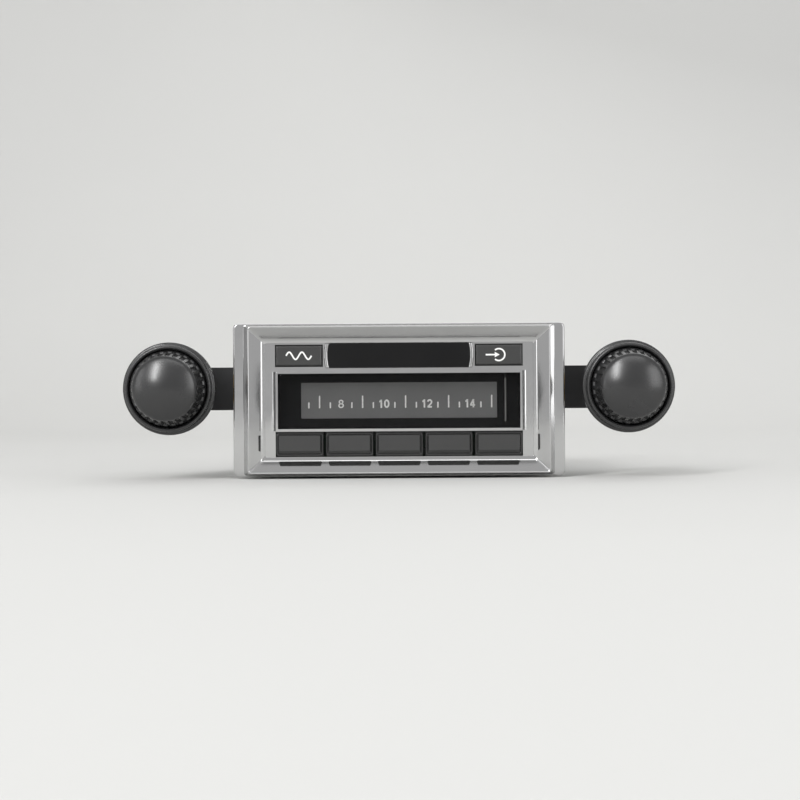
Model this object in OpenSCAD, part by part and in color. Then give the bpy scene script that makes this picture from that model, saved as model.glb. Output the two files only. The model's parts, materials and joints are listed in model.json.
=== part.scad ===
// Shaft-mounted truck radio with a chromed shadow-box bezel, a slide-rule dial,
// push buttons and two pairs of concentric controls. All sizes are millimetres.
// The origin is the centre of the case underside, +Z is up and the face looks along -Y.

/* [Bezel] */
// Width of the bezel flange
bezel_w = 106; // [100:0.5:116]
// Height of the bezel flange
bezel_h = 49; // [47:0.5:56]
// Corner radius of the flange
bezel_corner_r = 1.6; // [0.8:0.2:3]
// Thickness of the flange that lies on the dash
flange_t = 1.6; // [1.2:0.1:2.4]
// Height of the rim crest in front of the flange
rim_rise = 4.4; // [3.4:0.1:5.4]
// Width of the flat crest of the rim
crest_land = 0.4; // [0.2:0.1:0.8]
// Sideways run of the outer slope of the rim
rim_outer_run = 1.2; // [0.8:0.1:1.8]
// Upward run of the outer slope of the rim
rim_outer_rise = 0.6; // [0.4:0.1:0.7]
// Width and depth of the sloped inner walls of the shadow box
slope_run = 3.8; // [3:0.1:4.2]
// Straight land between the slope and the face
face_land = 0.6; // [0.4:0.1:1]
// Wall of the collar behind the flange
collar_wall = 1.5; // [1.2:0.1:1.7]
// Length of the collar behind the flange
collar_len = 4; // [3:0.5:6]

/* [Face] */
// Width of the face that shows inside the slopes
face_w = 88.4; // [86:0.2:89]
// Height of the face that shows inside the slopes
face_h = 38.4; // [37.6:0.2:39]
// How far the face plate reaches behind the bezel on each side
face_lap = 1.8; // [1.4:0.1:2]
// Thickness of the face plate
face_t = 2; // [1.6:0.1:2.6]
// Width of the dial window
window_w = 77.2; // [74:0.2:77.6]
// Height of the dial window
window_h = 17.6; // [15:0.2:17.8]
// Height of the window centre below the face centre
window_drop = 0.35; // [0:0.05:0.6]
// Width of the raised rim round the window
window_rim = 0.7; // [0.5:0.1:0.8]
// How far the window rim stands out of the face
window_rise = 2; // [1:0.1:2.6]
// Radius of the cove that sweeps up to each end of the window
cove_r = 1.7; // [0.8:0.1:2]
// Width of the name plate
plate_w = 45.3; // [40:0.1:46]
// Height of the name plate
plate_h = 8; // [6:0.1:8.2]
// Radius of the bowed ends of the name plate
plate_bow_r = 15; // [10:1:30]
// Thickness of the name plate
plate_thick = 1.2; // [1:0.1:1.6]
// Depth of the pocket that holds the name plate
plate_pocket = 0.8; // [0.5:0.1:0.9]
// Width of the chromed bar at each end of the name plate
plate_bar = 1.3; // [0.8:0.1:1.5]
// How far those bars stand out of the face
plate_bar_rise = 0.6; // [0.3:0.1:1]
// Height of the upper row above the face centre
upper_row = 14.2; // [13.8:0.1:14.4]

/* [Buttons] */
// Distance between preset buttons
preset_pitch = 15.85; // [15.5:0.05:16]
// Gap between neighbouring preset buttons
preset_gap = 0.9; // [0.5:0.1:1.2]
// Height of a preset button
preset_h = 7.2; // [6.5:0.1:7.4]
// Gap above and below a preset button in its opening
preset_clear = 0.45; // [0.3:0.05:0.5]
// Corner radius of a preset button
preset_corner_r = 0.9; // [0.4:0.1:1.4]
// Width of the lip round the pad of a preset button
preset_lip = 0.5; // [0.3:0.05:0.7]
// How far the lip stands out of the face
preset_lip_out = 1.1; // [0.6:0.1:1.6]
// Depth of the preset row below the face centre
preset_drop = 14.1; // [13.9:0.1:14.3]
// How far a preset button stands out of the face
preset_out = 2.6; // [1.8:0.1:3.2]
// Travel of a preset button
preset_travel = 2; // [1:0.1:2.4]
// Sideways run of the sloped ends of the pad
preset_end_bevel = 0.5; // [0.3:0.1:1]
// Run of the sloped lower edge of the pad
preset_low_bevel = 1.1; // [0.6:0.1:1.6]
// Run of the sloped upper edge of the pad
preset_top_bevel = 0.3; // [0.2:0.1:0.8]
// Width of a band or line button
key_w = 14.7; // [12:0.1:15]
// Height of a band or line button
key_h = 6.5; // [5.5:0.1:6.7]
// Distance of the band and line buttons from the middle
key_x = 31.9; // [31.5:0.1:32.2]
// How far a band or line button stands out of the face
key_out = 1; // [0.6:0.1:1.6]
// Travel of a band or line button
key_travel = 0.8; // [0.4:0.1:0.9]
// Bevel round the front of a band or line button
key_bevel = 0.4; // [0.2:0.1:0.6]
// Thickness of the flange that keeps a button in the face
keep_t = 1; // [0.8:0.1:1.2]
// How far that flange reaches past the opening
keep_lap = 0.55; // [0.4:0.05:0.6]
// Radius of a button stem
stem_r = 1.4; // [1:0.1:1.8]
// Depth of the stem in its switch at rest
stem_engage = 0.8; // [0.5:0.1:1.2]

/* [Dial] */
// Gap between each end of the dial plate and the nose frame
dial_end_gap = 1.7; // [1.2:0.1:3]
// Top of the dial plate above the face centre
dial_top = 8.4; // [7.6:0.1:8.6]
// Bottom of the dial plate below the face centre
dial_bottom = 9.2; // [8.6:0.1:9.3]
// Thickness of the dial plate
dial_t = 1.5; // [1.2:0.1:2]
// Width of the printed scale
scale_w = 62.9; // [56:0.1:64]
// Height of the printed scale
scale_h = 11.5; // [9:0.1:12]
// Thickness of the printed scale
scale_t = 0.2; // [0.2:0.1:0.4]
// Height of the scale centre below the face centre
scale_drop = 0.15; // [0:0.05:0.6]
// Width of the tabs that hold the lens at each end
lens_tab = 2; // [1.4:0.1:2.4]
// Thickness of the lens tabs
lens_tab_t = 0.9; // [0.7:0.1:1.2]
// Height of the lens tabs
lens_tab_h = 12; // [8:0.5:14]
// Setback of the lens from the front of the window rim
lens_setback = 0.6; // [0.3:0.1:1]
// Thickness of the light guide
guide_t = 2; // [1.5:0.1:2.6]
// Thickness of the circuit boards
board_t = 1.6; // [1.2:0.1:2]
// Space between the light guide and the control board
lamp_room = 2.6; // [2:0.1:3.4]
// Height of a dial lamp above its board
lamp_h = 1.4; // [1:0.1:1.8]

/* [Pointer] */
// Distance of the parked pointer from the end block of the dial plate
park_gap = 4.4; // [3.5:0.1:6.5]
// Travel of the pointer along the scale
pointer_travel = 64; // [50:0.5:65]
// Width of the pointer line
needle_w = 0.45; // [0.4:0.05:0.8]
// Length of the pointer line
needle_len = 14; // [12:0.1:15]
// Top of the pointer line above the face centre
needle_top = 6.9; // [6:0.1:7.4]
// Thickness of the pointer line
needle_t = 0.3; // [0.2:0.05:0.5]
// Thickness of the finger behind the pointer line
finger_t = 0.8; // [0.6:0.1:1.1]
// Height of the arm that passes over the dial plate
arm_h = 1.2; // [0.8:0.1:1.4]
// Width of that arm
arm_w = 2.4; // [1.6:0.1:3.2]
// Radius of the rail rod
rail_r = 1; // [0.8:0.1:1.4]
// Height of the rail above the upper run of the belt
rail_lift = 3.5; // [3:0.1:4.5]
// Length of the carriage block
carriage_len = 8; // [6:0.5:9]
// Radius of the belt centre line on the drum
belt_pitch_r = 5; // [4.6:0.1:5.4]
// Thickness of the belt
belt_t = 0.8; // [0.6:0.1:1]
// Width of the belt
belt_w = 2.4; // [2:0.1:3]
// Gap between the idler pulley and the side of the case
idler_gap = 2.2; // [1.4:0.1:3]
// Radius of the idler pin
idler_pin_r = 1.5; // [1:0.1:2]

/* [Knobs] */
// Distance between the two control shafts
shaft_spacing = 146; // [143:0.5:152]
// Height of the control shafts above the face centre
shaft_rise = 3.9; // [3.6:0.1:4.2]
// Outer radius of the rear ring
ring_r = 14.75; // [14:0.05:16]
// Radius of the raised step of the rear ring
ring_step_r = 13.7; // [13.5:0.05:13.9]
// Length of the rear ring
ring_len = 5.6; // [4.8:0.1:6.4]
// Length of the outer step of the rear ring
ring_base_len = 2; // [1.4:0.1:2.6]
// Radius of the rounded edge of the outer step
ring_edge_r = 0.7; // [0.4:0.1:1]
// Depth of the recess in the front of the rear ring
ring_recess = 2; // [1.4:0.1:2.6]
// Radius of the recess in the front of the rear ring
ring_recess_r = 12.7; // [12.6:0.05:12.9]
// Radius of the front knob at its foot
knob_foot_r = 12.2; // [11.8:0.05:12.3]
// Radius of the front knob at its shoulder
knob_top_r = 10.4; // [9.8:0.05:11.2]
// Length of the front knob from its foot to the shoulder
knob_grip_len = 9; // [7:0.1:11]
// Radius of the rounded shoulder
knob_shoulder_r = 2.4; // [1.6:0.1:2.8]
// Radius of the domed front
knob_dome_r = 20; // [15:0.5:40]
// Length of the plain foot of the front knob
knob_foot = 1.8; // [1.2:0.1:3]
// Number of grip ribs
knob_ribs = 28; // [20:1:36]
// Depth of the grooves between the ribs
knob_groove = 0.55; // [0.3:0.05:0.7]
// Wall of the knobs and rings
knob_wall = 1.8; // [1.4:0.1:2.2]
// Radius of the hub inside each knob and ring
hub_r = 5; // [4.4:0.1:6]

/* [Shafts] */
// Radius of the inner shafts
shaft_r = 2; // [1.6:0.05:2.4]
// Wall of the outer sleeves
sleeve_wall = 0.95; // [0.8:0.05:1.2]
// Wall of the threaded bushings
bushing_wall = 1.7; // [1.4:0.05:2]
// Length of the bushing in front of the dash plane
bushing_out = 2.4; // [2.2:0.1:3.4]
// Thickness of the bushing nuts
nut_t = 1.8; // [1.4:0.1:2]
// Width across the corners of the nuts, as a radius
nut_r = 7.4; // [7:0.1:8.6]
// Thickness of the washers
washer_t = 0.4; // [0.3:0.05:0.6]
// Outer radius of the washers
washer_r = 8.6; // [8:0.1:10]
// Dash thickness that the nuts are set for
dash_t = 2; // [1:0.1:4]
// Radius of the control cans
can_r = 10.5; // [9:0.1:11]
// Length of the front control can
fader_len = 5; // [4:0.1:6]
// Length of the rear control can
tuning_len = 10; // [8:0.5:13]
// Width of the drive drum
drum_w = 5; // [4.4:0.1:6]
// Free space on each side of the drum
drum_gap = 1; // [0.6:0.1:1.6]
// Radius of the posts that carry the rear control can
post_r = 1.2; // [0.9:0.1:1.4]

/* [Nose and front plate] */
// Wall of the nose frame
nose_wall = 1.8; // [1.5:0.1:2.1]
// Length of the screw bosses behind the control board
boss_len = 4.4; // [3.6:0.1:6]
// Radius of the screw bosses
boss_r = 2.8; // [2.6:0.1:3]
// Thickness of the front plate
front_t = 1.6; // [1.2:0.1:2]
// Height of the arms that carry the controls
arm_plate_h = 14; // [11:0.5:16]
// Radius of the round ends of the arms
arm_end_r = 12; // [11:0.1:13]
// Radius of the small screws
screw_r = 1.25; // [1:0.05:1.5]
// Radius of the small screw heads
screw_head_r = 2.2; // [1.9:0.1:2.4]
// Height of the small screw heads
screw_head_h = 1.4; // [1:0.1:1.8]
// Length of the small screws under the head
screw_len = 4.6; // [4:0.1:5]
// Width of the snap wedges that hold the bezel
snap_w = 9; // [6:0.5:12]
// Height of the snap wedges
snap_h = 1; // [0.6:0.1:1.2]

/* [Case] */
// How far the case reaches past the nose on each side
case_side = 5; // [4.6:0.1:5.6]
// Depth of the case tray
case_d = 100; // [92:1:130]
// Height of the closed case
case_h = 50; // [50:0.5:58]
// Thickness of the sheet steel
sheet_t = 1; // [0.8:0.1:1.3]
// Height of the flanges of the top cover
cover_flange = 10; // [7:0.5:13]
// Width of the bent front edges of the tray
tray_lip = 6; // [5:0.5:6.5]
// Number of vent slots in each row
vent_count = 10; // [5:1:12]
// Distance between the vent slots
vent_pitch = 8; // [6:0.5:8.5]
// Width of a vent slot
vent_w = 3; // [2:0.1:4]
// Length of a vent slot
vent_len = 26; // [16:1:30]
// Radius of the tapped bracket holes in the sides
bracket_hole_r = 2.1; // [1.6:0.05:2.6]
// Distance between the tapped bracket holes
bracket_pitch = 50; // [40:1:60]
// Depth of the drawn collars round the bracket holes
bracket_collar = 2; // [1.5:0.1:3]

/* [Rear panel] */
// Margin between the heat sink and the side of the case
sink_margin = 2; // [1:0.1:3]
// Gap between the heat sink and the support stud
stud_gap = 1.6; // [1:0.1:3]
// Distance of the antenna socket from the side of the case
antenna_inset = 10; // [9:0.1:11]
// Depth of the upper sockets below the case top
upper_socket_drop = 13; // [12:0.1:14]
// Height of the phono sockets above the case underside
phono_z = 14; // [12:0.1:14.4]
// Distance of the last phono socket from the side of the case
phono_inset = 8.5; // [7:0.1:9.5]
// Gap between the upper sockets
socket_gap = 1.2; // [0.6:0.1:2]
// Width of the shoulders round the sockets
shoulder_w = 1; // [0.6:0.1:1.2]
// How far the sockets reach inside the rear wall
socket_in = 4; // [3:0.5:5]
// Depth of the socket floors inside the rear wall
socket_floor = 2; // [1:0.5:2.5]
// Distance of the cover screws from the ends of the case
cover_screw_inset = 12; // [8:0.5:16]
// Width of the heat sink
sink_w = 42; // [36:1:44]
// Height of the heat sink
sink_h = 40; // [32:1:44]
// Thickness of the heat sink base
sink_base = 3; // [2:0.5:4]
// Length of the heat sink fins
fin_len = 9; // [6:0.5:14]
// Thickness of a fin
fin_t = 1.6; // [1.2:0.1:2]
// Number of fins
fin_count = 7; // [5:1:8]
// Radius of the rear support stud
stud_r = 3; // [2.5:0.1:4]
// Free length of the rear support stud
stud_len = 12; // [8:0.5:16]
// Thickness of the hexagon foot of the stud
stud_foot = 3; // [2:0.5:4]
// Radius of the bore of the antenna socket
antenna_r = 4.8; // [4:0.1:5.2]
// Wall of the antenna socket
antenna_wall = 1.2; // [0.8:0.1:1.5]
// Depth of the antenna socket bore
antenna_depth = 10; // [8:0.5:12]
// Radius of a phono socket
phono_r = 4.15; // [3.8:0.05:4.4]
// Length of a phono socket
phono_len = 9; // [7:0.5:11]
// Distance between the phono sockets
phono_pitch = 11.5; // [11:0.1:12]
// Width of the cavity of the harness socket
harness_w = 20; // [14:0.5:21]
// Height of the cavity of the harness socket
harness_h = 8; // [6:0.5:9]
// Depth of the cavity of the harness socket
harness_depth = 10; // [7:0.5:12]
// Wall of the harness socket
harness_wall = 1.4; // [1:0.1:1.8]
// Radius of the harness pins
pin_r = 0.6; // [0.4:0.1:0.8]
// Length of the harness pins
pin_len = 5; // [3:0.5:6]
// Radius of the contact holes in the sockets
contact_r = 1.6; // [1.2:0.1:1.8]

/* [Inside] */
// Distance of the tuner can from the side of the main board
tuner_side_gap = 5; // [3:0.5:10]
// Distance of the tuner can from the front of the main board
tuner_front_gap = 10; // [6:0.5:16]
// Distance of the large capacitors from the back of the main board
cap_rear_gap = 14; // [13:0.5:20]
// Distance of the board posts from the edges of the main board
post_inset = 4; // [3.5:0.1:6]
// Depth of the main board's underside below the face centre
link_drop = 17; // [16.6:0.1:17.4]
// Gap between the main board and each side of the case
board_side_gap = 4; // [3:0.5:8]
// Space for the pointer drive in front of the main board
board_front_gap = 19; // [17:0.5:26]
// Gap between the main board and the rear wall
board_rear_gap = 4; // [3:0.5:6]
// Width of the tongue that plugs into the control board
tongue_w = 30; // [20:1:36]
// Width of the tuner can
tuner_w = 38; // [28:1:42]
// Depth of the tuner can
tuner_d = 30; // [22:1:36]
// Height of the tuner can
tuner_h = 16; // [12:1:24]
// Width of the amplifier chip
amp_w = 22; // [16:1:28]
// Thickness of the amplifier chip
amp_t = 4.6; // [4.2:0.1:5]
// Height of the amplifier chip above its board
amp_h = 17; // [12:1:22]
// Radius of the large capacitors
big_cap_r = 6; // [5:0.1:7]
// Height of the large capacitors
big_cap_h = 22; // [16:1:28]
// Radius of the small capacitors
small_cap_r = 3.2; // [2.5:0.1:4]

/* [Fits] */
// Running clearance round shafts and in bearings
run_gap = 0.05; // [0.03:0.01:0.08]
// Clearance between parts that slip together
slip_gap = 0.15; // [0.1:0.05:0.25]
// Clearance round a moving button
button_gap = 0.3; // [0.2:0.05:0.35]
// Clearance between moving faces
face_gap = 0.2; // [0.15:0.05:0.3]
// Clearance between a rotating knob and what it faces
knob_gap = 0.5; // [0.3:0.05:0.8]

/* [Hidden] */
$fn = 64;

// How far a cutting body runs past the face it cuts
cut = 1;

// Depths behind the dash plane, from the crest of the bezel back to the case
crest_y = -flange_t - rim_rise;
slope_y = crest_y + slope_run;
face_y = slope_y + face_land;
face_back = face_y + face_t;
rim_y = face_y - window_rise;
lens_y = rim_y + lens_setback;
needle_y = face_back + face_gap;
finger_y = needle_y + needle_t;
scale_y = finger_y + finger_t + 2 * face_gap;
dial_y = scale_y + scale_t;
guide_y = dial_y + dial_t;
guide_back = guide_y + guide_t;
board_y = guide_back + lamp_room;
board_back = board_y + board_t;
front_y = board_back + boss_len;
front_back = front_y + front_t;
fader_back = front_back + fader_len;
drum_y = fader_back + drum_gap;
drum_back = drum_y + drum_w;
tuning_y = drum_back + drum_gap;
belt_y = drum_y + drum_w / 2;
rail_y = front_back + 4 * rail_r;

// Heights and widths in the face
face_z = case_h / 2;
dash_y = -case_d / 2 - front_back;
nose_w = face_w + 2 * face_lap;
nose_h = face_h + 2 * face_lap;
case_w = nose_w + 2 * case_side;
nose_in_w = nose_w - 2 * nose_wall;
nose_in_h = nose_h - 2 * nose_wall;
dial_w = nose_in_w - 2 * dial_end_gap;
recess_w = face_w + 2 * slope_run;
recess_h = face_h + 2 * slope_run;
rim_w = recess_w + 2 * crest_land;
rim_h = recess_h + 2 * crest_land;
rebate_w = nose_w + 2 * slip_gap;
rebate_h = nose_h + 2 * slip_gap;
collar_w = rebate_w + 2 * collar_wall;
collar_h = rebate_h + 2 * collar_wall;
shaft_x = shaft_spacing / 2;
boss_x = nose_in_w / 2 - boss_r + slip_gap;
boss_z = nose_in_h / 2 - boss_r + slip_gap;
snap_y0 = collar_len / 4;
snap_y1 = collar_len * 3 / 4;
dial_block_w = 2 * lens_tab;
link_len = boss_len - 2 * face_gap;
link_floor = boss_len / 4;

// Buttons
preset_count = 5;
preset_w = preset_pitch - preset_gap;
preset_row_w = (preset_count - 1) * preset_pitch + preset_w;
keep_y = face_back + face_gap;
switch_h = preset_travel + stem_engage + 4 * face_gap;
switch_y = board_y - switch_h;
switch_w = 4 * stem_r;
preset_xs = [for (i = [0 : preset_count - 1]) (i - (preset_count - 1) / 2) * preset_pitch];
stem_places = concat(
    [for (x = preset_xs) [x, -preset_drop]],
    [[-key_x, upper_row], [key_x, upper_row]]
);

// Pointer drive
pointer_park = dial_w / 2 - dial_block_w - park_gap;
run_top = shaft_rise + belt_pitch_r;
rail_z = run_top + rail_lift;
arm_z = dial_top + face_gap;
arm_top = arm_z + arm_h;
slot_x0 = pointer_park - pointer_travel - arm_w;
slot_x1 = pointer_park + arm_w;
slot_z0 = arm_z - 3 * face_gap;
slot_z1 = arm_top + 2 * face_gap;
drum_groove_r = belt_pitch_r - belt_t / 2 - run_gap;
drum_flange_r = belt_pitch_r + belt_t;
idler_x = case_w / 2 - sheet_t - drum_flange_r - idler_gap;
rail_tab_x = case_w / 2 - tray_lip - front_t - slip_gap;
rail_tab_h = 2.2 * rail_r;

// Shafts and knobs
sleeve_in_r = shaft_r + run_gap;
sleeve_r = sleeve_in_r + sleeve_wall;
bushing_in_r = sleeve_r + run_gap;
bushing_r = bushing_in_r + bushing_wall;
ring_back = -bushing_out - 1.5 * knob_gap;
ring_front = ring_back - ring_len;
ring_floor = ring_front + ring_recess;
knob_foot_y = ring_floor - knob_gap;
knob_shoulder_y = knob_foot_y - knob_grip_len;
shoulder_x = knob_top_r - knob_shoulder_r;
dome_reach = knob_dome_r - knob_shoulder_r;
knob_tip_y = knob_shoulder_y + sqrt(dome_reach * dome_reach - shoulder_x * shoulder_x) - knob_dome_r;
dome_edge_r = shoulder_x * knob_dome_r / dome_reach;
shaft_tip_y = knob_shoulder_y + knob_shoulder_r;
sleeve_end = front_back + fader_len / 2;
volume_end = fader_back + tuning_len * 0.75;
tuning_end = tuning_y + tuning_len * 0.75;
lug_w = 1.6;
lug_t = 0.6;
lug_len = 3;
lug_pitch = 4;

// Case
tray_top = case_h - sheet_t;
main_z = face_z - link_drop;
board_post_h = main_z - sheet_t;
board_w = case_w - 2 * (sheet_t + board_side_gap);
main_back = case_d / 2 - sheet_t - board_rear_gap;
main_front = board_front_gap - case_d / 2;
rear_y = case_d / 2;
sink_x = sink_margin + sink_w / 2 - case_w / 2;
sink_screw_x = sink_w / 2 - 1.3 * screw_head_r;
sink_screw_z = sink_h / 2 - 2.5 * screw_head_r;
fin_field = sink_w - 5.2 * screw_head_r;
stud_foot_r = 1.8 * stud_r;
stud_x = sink_x + sink_w / 2 + stud_gap + stud_foot_r;
upper_socket_z = case_h - upper_socket_drop;
antenna_x = case_w / 2 - antenna_inset;
antenna_shoulder_r = antenna_r + antenna_wall + shoulder_w;
harness_x = antenna_x - antenna_shoulder_r - socket_gap - harness_w / 2 - 2 * harness_wall;
phono_count = 4;
phono_x = case_w / 2 - phono_inset - (phono_count - 1) * phono_pitch;
phono_neck_r = phono_r - shoulder_w;
cover_screw_y = rear_y - cover_screw_inset;
front_screw_x = nose_w / 2 + screw_head_r + slip_gap;
front_screw_z = face_h / 2 - screw_head_r / 2;
tuner_x = board_w / 2 - tuner_w / 2 - tuner_side_gap;
tuner_y = main_front + tuner_d / 2 + tuner_front_gap;
big_cap_y = main_back - cap_rear_gap;

// A flat outline in X and Z, drawn out along Y from y0 to y1
module slab(y0, y1) {
    translate([0, y1, 0])
        rotate([90, 0, 0])
            linear_extrude(height = y1 - y0)
                children();
}

// A rod along Y
module rod(r, y0, y1) {
    translate([0, y0, 0])
        rotate([-90, 0, 0])
            cylinder(r = r, h = y1 - y0);
}

// A profile of radius and depth, turned about the Y axis
module turned() {
    rotate([-90, 0, 0])
        rotate_extrude($fn = 96)
            children();
}

// A rod along X
module cross_rod(r, x0, x1) {
    translate([x0, 0, 0])
        rotate([0, 90, 0])
            cylinder(r = r, h = x1 - x0);
}

// A block from corner a to corner b
module block(a, b) {
    translate(a)
        cube(b - a);
}

module rect(w, h) {
    square([w, h], center = true);
}

module round_rect(w, h, r) {
    rect(w - 2 * r, h);
    rect(w, h - 2 * r);
    for (x = [-1, 1], z = [-1, 1])
        translate([x * (w / 2 - r), z * (h / 2 - r)])
            circle(r = r);
}

// An upright slot with round ends
module slot(w, h) {
    rect(w, h - w);
    for (z = [-1, 1])
        translate([0, z * (h - w) / 2])
            circle(r = w / 2);
}

// A rectangle with ends that bow outwards
module bowed_rect(w, h, r) {
    rect(w - h, h);
    for (side = [-1, 1])
        intersection() {
            translate([side * (w - h) / 2, 0])
                rect(h, h);
            translate([side * (w / 2 - r), 0])
                circle(r = r);
        }
}

// A flat-sided block whose outline changes from w0 by h0 at y0 to w1 by h1 at y1
module tapered_block(w0, h0, y0, w1, h1, y1) {
    intersection() {
        linear_extrude(height = max(h0, h1) + 2 * cut, center = true)
            polygon([[-w0 / 2, y0], [w0 / 2, y0], [w1 / 2, y1], [-w1 / 2, y1]]);
        rotate([90, 0, 90])
            linear_extrude(height = max(w0, w1) + 2 * cut, center = true)
                polygon([[y0, -h0 / 2], [y0, h0 / 2], [y1, h1 / 2], [y1, -h1 / 2]]);
    }
}

// The dash frame: Y is the depth behind the dash plane and Z the height over the face centre
module at_dash() {
    translate([0, dash_y, face_z])
        children();
}

// A control shaft's own axis in the dash frame, on the left (-1) or on the right (1)
module at_shaft(side) {
    at_dash()
        translate([side * shaft_x, 0, shaft_rise])
            children();
}

// A small screw along +Y with its head in front of y
module small_screw(y, len) {
    rod(screw_head_r, y - screw_head_h, y);
    rod(screw_r, y, y + len);
}

// A short open steel tray with drawn collars round the tapped side holes
module chassis_tray() {
    color("silver")
    difference() {
        union() {
            block([-case_w / 2, -rear_y, 0], [case_w / 2, rear_y, sheet_t]);
            block([-case_w / 2, rear_y - sheet_t, 0], [case_w / 2, rear_y, tray_top]);
            for (side = [-1, 1])
                mirror([side < 0 ? 1 : 0, 0, 0]) {
                    block([case_w / 2 - sheet_t, -rear_y, 0], [case_w / 2, rear_y, tray_top]);
                    block([case_w / 2 - tray_lip, -rear_y, 0],
                          [case_w / 2, sheet_t - rear_y, tray_top]);
                    for (y = [-1, 1])
                        translate([0, y * bracket_pitch / 2, face_z])
                            cross_rod(2 * bracket_hole_r, case_w / 2 - sheet_t - bracket_collar,
                                      case_w / 2 - sheet_t / 2);
                }
        }
        for (y = [-1, 1])
            translate([0, y * bracket_pitch / 2, face_z])
                cross_rod(bracket_hole_r, -case_w, case_w);
        belt_window();
        front_screw_places()
            rod(screw_r + slip_gap, 0, 2 * front_back);
        cover_screw_places()
            rod(screw_r + slip_gap, -sheet_t, 4 * sheet_t);
        sink_screw_places()
            rod(screw_r + slip_gap, 0, sink_base + 2 * sheet_t);
        rear_socket_holes();
    }
}

// Where the belt leaves the case through the right side
module belt_window() {
    at_dash()
        block([case_w / 2 - 2 * sheet_t, drum_y - drum_gap / 2, shaft_rise - drum_flange_r - drum_gap],
              [case_w / 2 + sheet_t, drum_back + drum_gap, shaft_rise + drum_flange_r + drum_gap]);
}

module front_screw_places() {
    at_dash()
        for (x = [-1, 1], z = [-1, 1])
            translate([x * front_screw_x, 0, z * front_screw_z])
                children();
}

module nose_screw_places() {
    at_dash()
        for (x = [-1, 1], z = [-1, 1])
            translate([x * boss_x, 0, z * boss_z])
                children();
}

// Screws through the cover flanges, each along its own Y pointing into the case
module cover_screw_places() {
    for (side = [-1, 1], y = [-1, 1])
        translate([side * (case_w / 2 + slip_gap + sheet_t), y * cover_screw_y, case_h - cover_flange / 2])
            rotate([0, 0, side * 90])
                children();
}

// Screws that hold the heat sink, each along its own Y pointing into the case
module sink_screw_places() {
    for (x = [-1, 1], z = [-1, 1])
        translate([sink_x + x * sink_screw_x, rear_y + sink_base, face_z + z * sink_screw_z])
            rotate([0, 0, 180])
                children();
}

module phono_places() {
    for (i = [0 : phono_count - 1])
        translate([phono_x + i * phono_pitch, rear_y, phono_z])
            children();
}

// Round and square openings for what stands in the rear wall
module rear_socket_holes() {
    translate([antenna_x, rear_y, upper_socket_z])
        rod(antenna_r + antenna_wall + slip_gap, -2 * sheet_t, sheet_t);
    translate([harness_x, rear_y, upper_socket_z])
        slab(-2 * sheet_t, sheet_t)
            rect(harness_w + 2 * harness_wall + 2 * slip_gap, harness_h + 2 * harness_wall + 2 * slip_gap);
    phono_places()
        rod(phono_neck_r + slip_gap, -2 * sheet_t, sheet_t);
    translate([stud_x, rear_y, face_z])
        rod(stud_r + run_gap, -2 * sheet_t, sheet_t);
}

// A shallow lid with two rows of vent slots
module top_cover() {
    outer_w = case_w + 2 * (slip_gap + sheet_t);
    color("lightgrey")
    difference() {
        union() {
            block([-outer_w / 2, -rear_y, tray_top], [outer_w / 2, rear_y, case_h]);
            for (side = [-1, 1])
                mirror([side < 0 ? 1 : 0, 0, 0])
                    block([outer_w / 2 - sheet_t, -rear_y, case_h - cover_flange],
                          [outer_w / 2, rear_y, case_h]);
        }
        for (row = [-1, 1], i = [0 : vent_count - 1])
            translate([(i - (vent_count - 1) / 2) * vent_pitch, row * (vent_len / 2 + 2 * vent_w),
                       tray_top - cut])
                linear_extrude(height = sheet_t + 2 * cut)
                    slot(vent_w, vent_len);
        cover_screw_places()
            rod(screw_r + slip_gap, -sheet_t, 2 * sheet_t);
    }
}

module cover_screws() {
    color("dimgray")
    cover_screw_places()
        small_screw(0, screw_len);
}

// The flat plate across the case front, with an arm on each side for the controls
module front_plate() {
    color("#303030")
    at_dash()
    difference() {
        union() {
            slab(front_y, front_back) {
                rect(case_w, case_h);
                translate([0, shaft_rise])
                    rect(2 * shaft_x, arm_plate_h);
                for (side = [-1, 1])
                    translate([side * shaft_x, shaft_rise])
                        circle(r = arm_end_r);
            }
            for (side = [-1, 1])
                mirror([side < 0 ? 1 : 0, 0, 0])
                    block([rail_tab_x, front_y, rail_z - rail_tab_h],
                          [rail_tab_x + front_t, rail_y + rail_tab_h, rail_z + rail_tab_h]);
        }
        slab(front_y - cut, front_back + cut) {
            pointer_slot();
            translate([0, main_z + board_t / 2 - face_z])
                rect(tongue_w + 2, 3 * board_t);
            for (side = [-1, 1])
                translate([side * shaft_x, shaft_rise])
                    circle(r = bushing_r + run_gap);
            for (x = [-1, 1], z = [-1, 1]) {
                translate([x * front_screw_x, z * front_screw_z])
                    circle(r = screw_r + slip_gap);
                translate([x * boss_x, z * boss_z])
                    circle(r = screw_r + slip_gap);
            }
            translate([-idler_x, shaft_rise])
                circle(r = idler_pin_r + run_gap);
        }
        translate([0, rail_y, rail_z])
            cross_rod(rail_r + run_gap, -case_w, case_w);
    }
}

// The long slot that the pointer arm moves in
module pointer_slot() {
    translate([slot_x0, slot_z0])
        square([slot_x1 - slot_x0, slot_z1 - slot_z0]);
}

// Screws that hold the front plate to the tray, and the nose frame to the front plate
module front_screws() {
    color("dimgray") {
        front_screw_places()
            small_screw(front_y, screw_len);
        nose_screw_places()
            translate([0, 2 * front_back, 0])
                mirror([0, 1, 0])
                    small_screw(front_back, screw_len);
    }
}

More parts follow.
